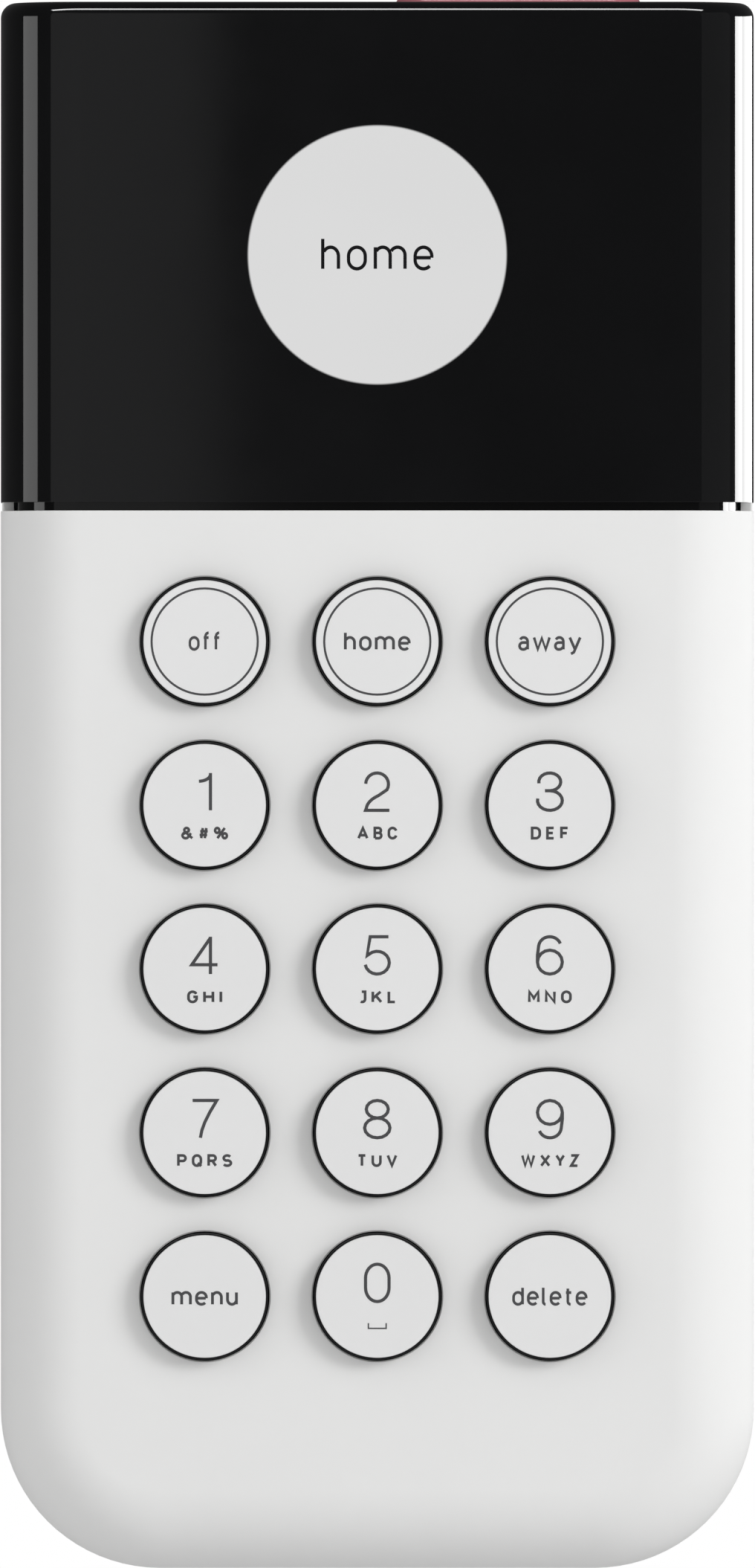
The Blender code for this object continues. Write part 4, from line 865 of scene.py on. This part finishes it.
# Each letter's width and its strokes, in heights of the letter. A stroke is a line of points, in which
# a curve is "a" with its centre, its two radii and its start and end in degrees.
GLYPHS = {
    "0": (0.63, [[("a", .315, .63, .315, .37, 0, 180), ("a", .315, .37, .315, .37, 180, 360),
                  (.63, .63)]]),
    "1": (0.31, [[(.31, 0), (.31, 1)], [("a", .0, .97, .31, .19, -12, -90)]]),
    "2": (0.63, [[("a", .31, .7, .305, .3, 178, -30), ("a", .9, .02, .88, .48, 130, 175), (.0, 0),
                  (.64, 0)]]),
    "3": (0.667, [[("a", .33, .7625, .295, .2375, 190, -90), (.2, .525)],
                  [("a", .333, .2625, .333, .2625, 90, -192)]]),
    "4": (0.69, [[(.5, .97), (.0, .25), (.69, .25)], [(.5, 1), (.5, 0)]]),
    "5": (0.64, [[(.62, 1), (.13, 1), (.045, .49), ("a", .317, .305, .325, .305, 132, -170)]]),
    "6": (0.667, [[("a", .333, .32, .333, .32, 90, 450)],
                  [("a", .33, .72, .3, .28, 20, 175), (.0, .5), (.0, .32)]]),
    "7": (0.65, [[(0, 1), (.65, 1), (.46, .68), (.33, .42), (.25, .2), (.21, 0)]]),
    "8": (0.68, [[("a", .34, .765, .295, .235, 90, 450)], [("a", .34, .265, .34, .265, 90, 450)]]),
    "9": (0.667, [[("a", .333, .68, .333, .32, 90, 450)],
                  [("a", .337, .28, .3, .28, 200, 355), (.667, .5), (.667, .68)]]),
    "A": (0.85, [[(0, 0), (.425, 1), (.85, 0)], [(.14, .3), (.71, .3)]]),
    "B": (0.64, [[(0, 0), (0, 1), (.36, 1), ("a", .36, .76, .24, .24, 90, -90), (.12, .52)],
                 [("a", .38, .26, .26, .26, 80, -90), (.02, 0)]]),
    "C": (0.70, [[("a", .36, .64, .36, .36, 15, 180), ("a", .36, .36, .36, .36, 180, 345)]]),
    "D": (0.73, [[(0, 0), (0, 1), (.35, 1), ("a", .35, .62, .38, .38, 90, 0),
                  ("a", .35, .38, .38, .38, 0, -90), (0, 0)]]),
    "E": (0.60, [[(.60, 1), (0, 1), (0, 0), (.60, 0)], [(0, .51), (.52, .51)]]),
    "F": (0.60, [[(.60, 1), (0, 1), (0, 0)], [(0, .5), (.52, .5)]]),
    "G": (0.76, [[("a", .38, .63, .38, .37, 25, 180), ("a", .38, .37, .38, .37, 180, 360), (.76, .5),
                  (.45, .5)]]),
    "H": (0.79, [[(0, 0), (0, 1)], [(.79, 0), (.79, 1)], [(0, .51), (.79, .51)]]),
    "I": (0.0, [[(0, 0), (0, 1)]]),
    "J": (0.52, [[(.2, 1), (.52, 1), (.52, .3), ("a", .24, .28, .28, .28, 0, -120)]]),
    "K": (0.80, [[(0, 0), (0, 1)], [(.74, 1), (.02, .36)], [(.3, .6), (.80, 0)]]),
    "L": (0.58, [[(0, 1), (0, 0), (.58, 0)]]),
    "M": (0.84, [[(0, 0), (0, 1), (.42, .36), (.84, 1), (.84, 0)]]),
    "N": (0.76, [[(0, 0), (0, 1), (.76, 0), (.76, 1)]]),
    "O": (0.76, [[("a", .38, .62, .38, .38, 0, 180), ("a", .38, .38, .38, .38, 180, 360), (.76, .62)]]),
    "P": (0.70, [[(0, 0), (0, 1), (.42, 1), ("a", .42, .73, .28, .27, 90, -90), (.12, .46)]]),
    "Q": (0.78, [[("a", .38, .62, .38, .38, 0, 180), ("a", .38, .38, .38, .38, 180, 360), (.76, .62)],
                 [(.46, .26), (.8, -.04)]]),
    "R": (0.70, [[(0, 0), (0, 1), (.40, 1), ("a", .40, .74, .28, .26, 90, -90), (.12, .48)],
                 [(.36, .48), (.70, 0)]]),
    "S": (0.74, [[("a", .37, .745, .34, .255, 30, 250), ("a", .37, .26, .37, .26, 75, -150)]]),
    "T": (0.68, [[(0, 1), (.68, 1)], [(.34, 1), (.34, 0)]]),
    "U": (0.76, [[(0, 1), (0, .37), ("a", .38, .37, .38, .37, 180, 360), (.76, 1)]]),
    "V": (0.82, [[(0, 1), (.41, 0), (.82, 1)]]),
    "W": (1.18, [[(0, 1), (.29, 0), (.59, .95), (.89, 0), (1.18, 1)]]),
    "X": (0.80, [[(0, 0), (.80, 1)], [(0, 1), (.80, 0)]]),
    "Y": (0.74, [[(0, 1), (.37, .45), (.74, 1)], [(.37, .45), (.37, 0)]]),
    "Z": (0.64, [[(0, 1), (.64, 1), (0, 0), (.64, 0)]]),
    "&": (1.0, [[(1.0, 0), (.22, .66), ("a", .42, .8, .23, .2, 205, 0)],
                [("a", .42, .8, .23, .2, 8, -40), (.16, .46), ("a", .32, .27, .32, .27, 130, 320),
                 (.86, .5)]]),
    "#": (0.82, [[(.16, 0), (.32, 1)],
                 [(.52, 0), (.68, 1)],
                 [(0, .32), (.76, .32)],
                 [(.06, .68), (.82, .68)]]),
    "%": (1.2, [[("a", .22, .76, .22, .24, 90, 450)],
                [("a", .98, .24, .22, .24, 90, 450)],
                [(.98, 1), (.24, 0)]]),
    "_": (1.7, [[(0, .5), (0, 0), (1.7, 0), (1.7, .5)]]),
    "a": (0.55, [[("a", .26, .47, .25, .25, 150, 0), (.51, 0)],
                 [(.49, .41), (.23, .41), ("a", .21, .205, .21, .205, 90, 270),
                  ("a", .24, .26, .27, .26, -90, -28)]]),
    "d": (0.57, [[("a", .285, .44, .285, .28, 0, 180), ("a", .285, .28, .285, .28, 180, 360),
                  (.57, .44)],
                 [(.57, 0), (.57, 1)]]),
    "e": (0.585, [[(.05, .37), (.55, .37)],
                  [("a", .2925, .42, .2925, .3, -10, 180), ("a", .2925, .29, .2925, .29, 180, 318)]]),
    "f": (0.36, [[(.12, 0), (.12, .76), ("a", .34, .78, .22, .22, 180, 90)], [(0, .71), (.34, .71)]]),
    "h": (0.55, [[(0, 0), (0, 1)], [("a", .275, .42, .275, .3, 150, 0), (.55, 0)]]),
    "l": (0.13, [[(0, 1), (0, .16), ("a", .15, .16, .15, .16, 180, 270)]]),
    "m": (1.04, [[(0, 0), (0, .72)],
                 [("a", .26, .46, .26, .26, 150, 0), (.52, 0)],
                 [("a", .78, .46, .26, .26, 150, 0), (1.04, 0)]]),
    "n": (0.53, [[(0, 0), (0, .72)], [("a", .265, .42, .265, .3, 150, 0), (.53, 0)]]),
    "o": (0.585, [[("a", .2925, .43, .2925, .29, 0, 180), ("a", .2925, .29, .2925, .29, 180, 360),
                   (.585, .43)]]),
    "t": (0.34, [[(.12, .95), (.12, .18), ("a", .3, .18, .18, .18, 180, 270)], [(0, .71), (.34, .71)]]),
    "u": (0.53, [[(0, .72), (0, .3), ("a", .265, .3, .265, .3, 180, 345)], [(.53, .72), (.53, 0)]]),
    "w": (0.98, [[(0, .72), (.24, 0), (.49, .68), (.74, 0), (.98, .72)]]),
    "y": (0.66, [[(0, .72), (.33, 0)], [(.66, .72), (.26, -.17), (.08, -.27)]]),
}


def polyline(stroke):
    """A stroke's points, with its curves drawn out."""
    points = []
    for step in stroke:
        if step[0] == "a":
            points += arc(*step[1:], CURVE_STEPS)
        else:
            points.append(step)
    kept = points[:1]
    for point in points[1:]:
        if math.dist(point, kept[-1]) > SAME_POINT:
            kept.append(point)
    return [Vector(point) for point in kept]


def ribbon(points, width, back, front):
    """A flat bar along a line of points, with mitred bends, from back to front along Y."""
    closed = (points[0] - points[-1]).length < CLOSED_SHARE * width
    if closed:
        points = points[:-1]
    total = len(points)
    left = []
    right = []
    for index, point in enumerate(points):
        before = points[index - 1] if closed or index > 0 else None
        after = points[(index + 1) % total] if closed or index < total - 1 else None
        first = (point - before).normalized() if before is not None else (after - point).normalized()
        second = (after - point).normalized() if after is not None else first
        bend = (first + second).normalized()
        reach = width / 2 / max(SHARPEST_MITRE, bend.dot(second))
        side = Vector((-bend.y, bend.x)) * reach
        left.append(point + side)
        right.append(point - side)
    solid = bmesh.new()
    rows = []
    for near, far in zip(left, right):
        rows.append([solid.verts.new(corner) for corner in (
            (near.x, back, near.y), (far.x, back, far.y),
            (far.x, front, far.y), (near.x, front, near.y))])
    pairs = list(zip(rows, rows[1:]))
    if closed:
        pairs.append((rows[-1], rows[0]))
    for here, there in pairs:
        for index in range(4):
            after = (index + 1) % 4
            solid.faces.new((here[index], here[after], there[after], there[index]))
    if not closed:
        solid.faces.new(rows[0])
        solid.faces.new(rows[-1])
    bmesh.ops.recalc_face_normals(solid, faces=solid.faces)
    return solid


drawn_letters = {}


def glyph(letter, height, stroke):
    """One letter as a mesh of closed bars, its lower left corner at the origin; and its width.

    Each bar is a hair thicker than the last, so that no two faces lie in one plane where bars cross.
    """
    key = (letter, height, stroke)
    if key not in drawn_letters:
        width, strokes = GLYPHS[letter]
        usable = height - stroke
        bars = []
        for number, points in enumerate(strokes):
            line = [Vector((point.x * usable, point.y * usable + stroke / 2)) for point in polyline(points)]
            step = number * STROKE_STEP
            bars.append(ribbon(line, stroke, step, -PRINT_THICKNESS - step))
        drawn_letters[key] = (plain_mesh("glyph", together(bars)), width * usable + stroke)
    return drawn_letters[key]


def lettering(text, centre_x, base_z, face_y, height, stroke, gap, width=None):
    """A line of letters, centred, standing on base_z and rising from face_y towards -Y."""
    glyphs = [glyph(letter, height, stroke) for letter in text]
    total = sum(advance for mesh, advance in glyphs) + gap * (len(text) - 1)
    scale = width / total if width else 1.0
    line = bmesh.new()
    x = centre_x - total * scale / 2
    for mesh, advance in glyphs:
        start = len(line.verts)
        line.from_mesh(mesh)
        line.verts.ensure_lookup_table()
        for vertex in line.verts[start:]:
            along = x + (vertex.co.x + stroke / 2) * scale
            vertex.co = Vector((along, vertex.co.y + face_y, vertex.co.z + base_z))
        x += (advance + gap) * scale
    return line


def printed_ring(x, z, face_y):
    """The fine ring printed near the edge of a cap."""
    inner = RING_RADIUS - RING_WIDTH / 2
    outer = RING_RADIUS + RING_WIDTH / 2
    front_y = face_y - PRINT_THICKNESS
    last = RING_SIDES - 1
    solid = bmesh.new()
    rows = []
    for radius, y in ((inner, face_y), (outer, face_y), (outer, front_y), (inner, front_y)):
        circle = arc(x, z, radius, radius, 0, 360 * last / RING_SIDES, last)
        rows.append([solid.verts.new(point) for point in facing(circle, y)])
    for lower, upper in zip(rows, rows[1:] + rows[:1]):
        for index in range(RING_SIDES):
            after = (index + 1) % RING_SIDES
            solid.faces.new((lower[index], lower[after], upper[after], upper[index]))
    bmesh.ops.recalc_face_normals(solid, faces=solid.faces)
    return solid


# What is printed on each key, in which style, and how wide it is in mm.
LEGENDS = {
    "key_off": [("off", "word", 2.97)],
    "key_home": [("home", "word", 6.18)],
    "key_away": [("away", "word", 5.87)],
    "key_1": [("1", "digit", None), ("&#%", "capital", 4.36)],
    "key_2": [("2", "digit", None), ("ABC", "capital", 3.72)],
    "key_3": [("3", "digit", None), ("DEF", "capital", 3.55)],
    "key_4": [("4", "digit", None), ("GHI", "capital", 3.26)],
    "key_5": [("5", "digit", None), ("JKL", "capital", 3.52)],
    "key_6": [("6", "digit", None), ("MNO", "capital", 4.07)],
    "key_7": [("7", "digit", None), ("PQRS", "capital", 5.12)],
    "key_8": [("8", "digit", None), ("TUV", "capital", 3.72)],
    "key_9": [("9", "digit", None), ("WXYZ", "capital", 5.35)],
    "key_menu": [("menu", "word", 6.15)],
    "key_0": [("0", "digit", None), ("_", "space", None)],
    "key_delete": [("delete", "word", 6.98)],
}
# Each style's base from the key's centre, letter height, stroke and gap between letters in heights.
STYLES = {
    "word": (WORD_BASE, WORD_HEIGHT, WORD_STROKE, 0.165),
    "digit": (DIGIT_BASE, DIGIT_HEIGHT, DIGIT_STROKE, 0.2),
    "capital": (CAPITAL_BASE, CAPITAL_HEIGHT, CAPITAL_STROKE, 0.38),
    "space": (SPACE_BASE, SPACE_HEIGHT, SPACE_STROKE, 0.2),
}

key_black = moulded_plastic("satin_black_key_plastic", (0.006, 0.006, 0.007), roughness=0.42, mottle=0.1,
                            specular=0.12)
key_white = moulded_plastic("matt_white_key_plastic", (0.77, 0.77, 0.77), roughness=0.42, mottle=0.008)
print_grey = moulded_plastic("grey_print", (0.052, 0.052, 0.056), roughness=0.5, mottle=0.05, grain=0.02)
key_low, key_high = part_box("key_off")
key_face = key_low.y
flange_front = key_face + KEY_FLANGE_DROP
flange_back = flange_front + KEY_FLANGE_THICKNESS
cap_face = key_face + CAP_RECESS
cap_back = key_face + CAP_DEPTH
print_back = cap_face + PRINT_LIFT

ring_profile = [
    (KEY_STEM_RADIUS - KEY_STEM_BREAK, key_high.y), (KEY_STEM_RADIUS, key_high.y - KEY_STEM_BREAK),
    (KEY_STEM_RADIUS, flange_back), (KEY_FLANGE_RADIUS, flange_back),
    (KEY_FLANGE_RADIUS, flange_front), (KEY_RADIUS, flange_front),
]
for step in range(KEY_EDGE_STEPS + 1):
    angle = math.radians(90 * step / KEY_EDGE_STEPS)
    ring_profile.append((KEY_RADIUS - KEY_EDGE * (1 - math.cos(angle)),
                         key_face + KEY_EDGE * (1 - math.sin(angle))))
ring_profile += [(CAP_RADIUS, key_face), (CAP_RADIUS, cap_back)]
cap_profile = [(CAP_RADIUS - CAP_FIT, cap_back), (CAP_RADIUS - CAP_FIT, cap_face + CAP_EDGE),
               (CAP_RADIUS - CAP_FIT - CAP_EDGE, cap_face)]

for key_name in KEY_NAMES:
    centre = middle(key_name)
    ring = finished(f"{key_name}_ring", turned(ring_profile, centre.x, centre.z), key_black)
    cap = finished(f"{key_name}_cap", turned(cap_profile, centre.x, centre.z), key_white)
    prints = []
    for text, style, width in LEGENDS[key_name]:
        base, height, stroke, gap_share = STYLES[style]
        width = width * MM if width else None
        prints.append(lettering(text, centre.x, centre.z + base, print_back, height, stroke,
                                gap_share * height, width))
    if key_name in PRINTED_RING_KEYS:
        prints.append(printed_ring(centre.x, centre.z, print_back))
    legend = placed(f"{key_name}_legend", plain_mesh(f"{key_name}_legend", together(prints)))
    legend.data.materials.append(print_grey)
    for piece in (ring, cap, legend):
        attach(piece, f"{key_name}_body")
    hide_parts(key_name)
    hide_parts(key_name)


# ------------------------------------------------------------------ display text
# The word shown on the round display, black on the lit disc. The real one is drawn by the panel behind
# the smoked front; here it is a set of thin plates on the head's face.

DISPLAY_WORD = "home"
DISPLAY_TEXT_WIDTH = 10.43 * MM
DISPLAY_TEXT_BASE = -1.46 * MM
DISPLAY_TEXT_HEIGHT = 3.11 * MM
DISPLAY_STROKE = 0.33 * MM
DISPLAY_TEXT_GAP = 0.21 * DISPLAY_TEXT_HEIGHT

text_black = moulded_plastic("display_text_black", (0.006, 0.006, 0.007), roughness=0.5, mottle=0.1,
                             grain=0.0, specular=0.1)
word_solid = lettering(DISPLAY_WORD, display_centre.x, display_centre.z + DISPLAY_TEXT_BASE,
                       head_face + PRINT_LIFT, DISPLAY_TEXT_HEIGHT, DISPLAY_STROKE, DISPLAY_TEXT_GAP,
                       DISPLAY_TEXT_WIDTH)
word = placed("display_word", plain_mesh("display_word", word_solid))
word.data.materials.append(text_black)
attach(word, "head")


# ------------------------------------------------------------------ inside parts
# What the housings hold, in the CAD's own shapes: the board with its sounder, radio shield and aerial,
# the key dome sheet and light guide, the rocker's steel base and plastic ring, switches, cells and
# screws. Each gets its own metal or plastic.

BAND_BLUR = 0.05 * MM
PAST_THE_END = 1.0 * MM
CELL_SLEEVE_END = 0.6 * MM
CELL_CAP_HEIGHT = 1.3 * MM
CELL_BAND_HEIGHT = 11.0 * MM
CELL_STEEL = (0.55, 0.55, 0.56)
FILM_TRACKS = range(-4, 5)
FILM_TRACK_PITCH = 1.0 * MM
FILM_TRACK_WIDTH = 0.5 * MM
DOME_THICKNESS = 0.33 * MM
SOUNDER_DISC = 0.3 * MM


def brushed_metal(name, colour, roughness, stretch=(1.0, 30.0, 30.0), grain_size=15.0 * MM):
    """Rolled or drawn metal: fine lines along one way in its gloss and colour."""
    finish = bpy.data.materials.new(name)
    finish.use_nodes = True
    tree = finish.node_tree
    shader = tree.nodes["Principled BSDF"]
    shader.inputs["Metallic"].default_value = 1.0
    place = tree.nodes.new("ShaderNodeTexCoord")
    scale = shader_node(tree, "ShaderNodeMapping", Scale=stretch)
    tree.links.new(place.outputs["Object"], scale.inputs["Vector"])
    lines = shader_node(tree, "ShaderNodeTexNoise", Scale=1 / grain_size, Detail=4.0, Roughness=0.65)
    tree.links.new(scale.outputs["Vector"], lines.inputs["Vector"])
    tone = tree.nodes.new("ShaderNodeValToRGB")
    darker, lighter = tone.color_ramp.elements
    darker.color = dyed(colour, 0.86)
    lighter.color = dyed(colour, 1.1)
    tree.links.new(lines.outputs["Fac"], tone.inputs["Fac"])
    tree.links.new(tone.outputs["Color"], shader.inputs["Base Color"])
    gloss = shader_node(tree, "ShaderNodeMapRange", To_Min=roughness * 0.7, To_Max=roughness * 1.3)
    tree.links.new(lines.outputs["Fac"], gloss.inputs["Value"])
    tree.links.new(gloss.outputs["Result"], shader.inputs["Roughness"])
    raised(finish, lines.outputs["Fac"], strength=0.15, distance=0.01 * MM)
    return finish


def painted_over(finish, colour, share):
    """Lays a colour over a finish's own, as far as the share says."""
    tree = finish.node_tree
    base = tree.nodes["Principled BSDF"].inputs["Base Color"]
    mix = tree.nodes.new("ShaderNodeMix")
    mix.data_type = "RGBA"
    mix.inputs["B"].default_value = (*colour, 1.0)
    tree.links.new(share, mix.inputs["Factor"])
    tree.links.new(base.links[0].from_socket, mix.inputs["A"])
    tree.links.new(mix.outputs["Result"], base)


def banded_plastic(name, base, axis, bands, roughness):
    """A plastic with bands of other colours between heights along one axis, such as a printed sleeve."""
    finish = moulded_plastic(name, base, roughness, mottle=0.04, grain=0.01)
    tree = finish.node_tree
    parts = tree.nodes.new("ShaderNodeSeparateXYZ")
    tree.links.new(node_of(finish, "ShaderNodeTexCoord").outputs["Object"], parts.inputs["Vector"])
    for start, end, colour in bands:
        above = shader_node(tree, "ShaderNodeMapRange", From_Min=start - BAND_BLUR,
                            From_Max=start + BAND_BLUR)
        below = shader_node(tree, "ShaderNodeMapRange", From_Min=end + BAND_BLUR,
                            From_Max=end - BAND_BLUR)
        tree.links.new(parts.outputs[axis], above.inputs["Value"])
        tree.links.new(parts.outputs[axis], below.inputs["Value"])
        share = worked(tree, "MULTIPLY", above.outputs["Result"], below.outputs["Result"])
        painted_over(finish, colour, share)
    return finish


def circuit_board(name):
    """Green solder mask with lighter copper tracks showing through it."""
    finish = moulded_plastic(name, (0.012, 0.11, 0.045), roughness=0.32, mottle=0.08, grain=0.02)
    tree = finish.node_tree
    tracks = shader_node(tree, "ShaderNodeTexVoronoi", Scale=260.0)
    tracks.feature = "DISTANCE_TO_EDGE"
    tree.links.new(node_of(finish, "ShaderNodeTexCoord").outputs["Object"], tracks.inputs["Vector"])
    near = shader_node(tree, "ShaderNodeMapRange", From_Min=0.03, From_Max=0.06, To_Min=1.0, To_Max=0.0)
    tree.links.new(tracks.outputs["Distance"], near.inputs["Value"])
    painted_over(finish, (0.03, 0.2, 0.08), near.outputs["Result"])
    return finish


def clear_plastic(name, tint, roughness, passing):
    """Clear or milky acrylic that lets light through."""
    finish = moulded_plastic(name, tint, roughness, mottle=0.02, grain=0.02)
    shader = finish.node_tree.nodes["Principled BSDF"]
    shader.inputs["Transmission Weight"].default_value = passing
    shader.inputs["IOR"].default_value = 1.49
    return finish


def ends(node, axis):
    """Where a CAD node starts and ends along an axis."""
    low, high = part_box(node)
    return low[axis], high[axis]


steel_plate = brushed_metal("rolled_steel", (0.56, 0.56, 0.57), roughness=0.32)
steel_wire = brushed_metal("drawn_spring_steel", (0.62, 0.61, 0.59), roughness=0.25,
                           stretch=(30.0, 30.0, 4.0))
nickel_sheet = brushed_metal("nickel_plated_contact", (0.70, 0.66, 0.58), roughness=0.24,
                             stretch=(30.0, 30.0, 1.0))
screw_steel = brushed_metal("zinc_plated_screw", (0.66, 0.66, 0.68), roughness=0.28,
                            stretch=(12.0, 12.0, 12.0))
dark_plastic = moulded_plastic("black_textured_plastic", (0.022, 0.022, 0.024), roughness=0.5,
                               mottle=0.08)
switch_plastic = moulded_plastic("black_switch_plastic", (0.03, 0.03, 0.032), roughness=0.38,
                                 mottle=0.06, grain=0.03)
grey_plastic = moulded_plastic("grey_textured_plastic", (0.3, 0.3, 0.31), roughness=0.5, mottle=0.05)
connector_plastic = moulded_plastic("cream_connector_plastic", (0.68, 0.64, 0.52), roughness=0.45,
                                    mottle=0.03)
board_finish = circuit_board("green_circuit_board")
guide_finish = clear_plastic("clear_light_guide", (0.9, 0.92, 0.93), roughness=0.12, passing=0.85)
diffuser_finish = clear_plastic("opal_diffuser", (0.86, 0.86, 0.86), roughness=0.4, passing=0.3)
cell_bottom, cell_top = ends("battery_1", 2)
sleeve_finish = banded_plastic("printed_cell_sleeve", (0.018, 0.02, 0.026), "Z", (
    (cell_top - CELL_BAND_HEIGHT, cell_top - CELL_CAP_HEIGHT, (0.42, 0.2, 0.06)),
    (cell_bottom - PAST_THE_END, cell_bottom + CELL_SLEEVE_END, CELL_STEEL),
    (cell_top - CELL_CAP_HEIGHT, cell_top + PAST_THE_END, CELL_STEEL),
), roughness=0.28)
film_finish = banded_plastic("copper_flat_cable", (0.36, 0.17, 0.05), "X", [
    (track * FILM_TRACK_PITCH, track * FILM_TRACK_PITCH + FILM_TRACK_WIDTH, (0.62, 0.34, 0.12))
    for track in FILM_TRACKS], roughness=0.3)
dome_front = ends("dome_sheet", 1)[0]
dome_finish = banded_plastic("dome_film_and_steel", (0.62, 0.62, 0.6), "Y", (
    (dome_front - PAST_THE_END, dome_front + DOME_THICKNESS, (0.72, 0.72, 0.74)),), roughness=0.25)
sounder_back = ends("piezo_sounder", 1)[1]
sounder_finish = banded_plastic("sounder_case", (0.02, 0.02, 0.021), "Y", (
    (sounder_back - SOUNDER_DISC, sounder_back + PAST_THE_END, (0.5, 0.36, 0.14)),), roughness=0.35)

INSIDE_FINISHES = {
    "main_board": board_finish, "radio_shield": steel_plate, "radio_antenna": steel_wire,
    "piezo_sounder": sounder_finish, "flex_connector": connector_plastic, "dome_sheet": dome_finish,
    "key_light_guide": guide_finish, "rocker_base": steel_plate, "rocker_gimbal": grey_plastic,
    "head_carrier": dark_plastic, "display_module": dark_plastic, "display_diffuser": diffuser_finish,
    "display_flex": film_finish, "panic_switch": switch_plastic,
}
for prefix, finish in (("rocker_switch_", switch_plastic), ("battery_contact_", nickel_sheet),
                       ("battery_spring_", steel_wire), ("case_screw_", screw_steel),
                       ("chassis_screw_", screw_steel)):
    for node_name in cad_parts:
        if node_name.startswith(prefix):
            INSIDE_FINISHES[node_name] = finish
for number in range(1, 5):
    INSIDE_FINISHES[f"battery_{number}"] = sleeve_finish
for node_name, finish in INSIDE_FINISHES.items():
    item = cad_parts[node_name]
    for place in item.material_slots:
        place.material = finish


# ------------------------------------------------------------------ floor, light and camera
# A plain pale floor under the keypad and soft studio light. The camera looks straight at the keypad's
# face through a long lens, at its own height.

LENS = 700.0
CAMERA_PLACE = (0.00002, -2.8515, 0.00015)
CAMERA_REACH = 20.0
FLOOR_RADIUS = 1.2
FLOOR_SIDES = 60
FLOOR_TOP = -0.12
FLOOR_THICKNESS = 0.005
WORLD_SEEN = 1.0
WORLD_LIGHT = 0.5
WORLD_REFLECTED = 0.07

floor_edge = arc(0.0, 0.0, FLOOR_RADIUS, FLOOR_RADIUS, 0, 360 * (FLOOR_SIDES - 1) / FLOOR_SIDES,
                 FLOOR_SIDES - 1)
floor_solid = column(floor_edge, FLOOR_TOP - FLOOR_THICKNESS, FLOOR_TOP)
floor_finish = moulded_plastic("pale_floor", (0.82, 0.82, 0.82), roughness=0.7, mottle=0.01, grain=0.0)
floor = finished("floor", floor_solid, floor_finish)
floor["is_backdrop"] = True


def area_light(name, azimuth, elevation, distance, size, radiance, diffuse=True, glossy=True):
    """A rectangular light that looks at the keypad: its direction in degrees, its width and height."""
    width, height = size
    data = bpy.data.lights.new(name, "AREA")
    data.shape = "RECTANGLE"
    data.size = width
    data.size_y = height
    data.energy = radiance * math.pi * width * height
    light = bpy.data.objects.new(name, data)
    turn = math.radians(azimuth)
    lift = math.radians(elevation)
    way = Vector((math.sin(turn) * math.cos(lift), -math.cos(turn) * math.cos(lift), math.sin(lift)))
    light.location = way * distance
    light.rotation_euler = way.to_track_quat("Z", "Y").to_euler()
    light.visible_camera = False
    light.visible_diffuse = diffuse
    light.visible_glossy = glossy
    bpy.context.scene.collection.objects.link(light)


def studio_world():
    """White to the camera, dim in reflections and soft on surfaces."""
    world = bpy.data.worlds.new("studio")
    world.use_nodes = True
    tree = world.node_tree
    background = tree.nodes["Background"]
    path = tree.nodes.new("ShaderNodeLightPath")
    unseen = shader_node(tree, "ShaderNodeMix", A=WORLD_LIGHT, B=WORLD_REFLECTED)
    tree.links.new(path.outputs["Is Glossy Ray"], unseen.inputs["Factor"])
    strength = shader_node(tree, "ShaderNodeMix", B=WORLD_SEEN)
    tree.links.new(path.outputs["Is Camera Ray"], strength.inputs["Factor"])
    tree.links.new(unseen.outputs["Result"], strength.inputs["A"])
    tree.links.new(strength.outputs["Result"], background.inputs["Strength"])
    background.inputs["Color"].default_value = (1.0, 1.0, 1.0, 1.0)
    bpy.context.scene.world = world


studio_world()
# The key and the fills light surfaces only. The others show only as reflections in the gloss.
area_light("key", 55.0, 20.0, 1.5, (0.62, 0.62), 9.2, glossy=False)
area_light("front_fill", 0.0, 5.0, 2.2, (0.88, 0.88), 2.6, glossy=False)
area_light("left_fill", -78.0, 0.0, 1.9, (0.86, 2.5), 1.42, glossy=False)
area_light("left_strip", -78.0, 0.0, 1.5, (0.68, 0.44), 2.1, diffuse=False)
area_light("left_glow", -22.6, 0.0, 1.7, (1.36, 2.0), 0.27, diffuse=False)
area_light("right_glow", 65.0, 0.0, 1.7, (1.5, 2.0), 0.1, diffuse=False)
area_light("right_near", 107.0, 3.0, 1.5, (0.42, 0.24), 14.0, diffuse=False)
area_light("right_far", 133.5, 3.0, 1.7, (1.2, 0.26), 9.0, diffuse=False)
area_light("top_strip", 0.0, 60.0, 1.5, (2.0, 0.26), 18.0, diffuse=False)

camera_data = bpy.data.cameras.new("camera")
camera_data.lens = LENS
camera_data.clip_end = CAMERA_REACH
camera = bpy.data.objects.new("camera", camera_data)
camera.location = CAMERA_PLACE
camera.rotation_euler = (math.radians(90), 0.0, 0.0)
bpy.context.scene.collection.objects.link(camera)
bpy.context.scene.camera = camera
bpy.context.scene.view_settings.view_transform = "Standard"

low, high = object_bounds()
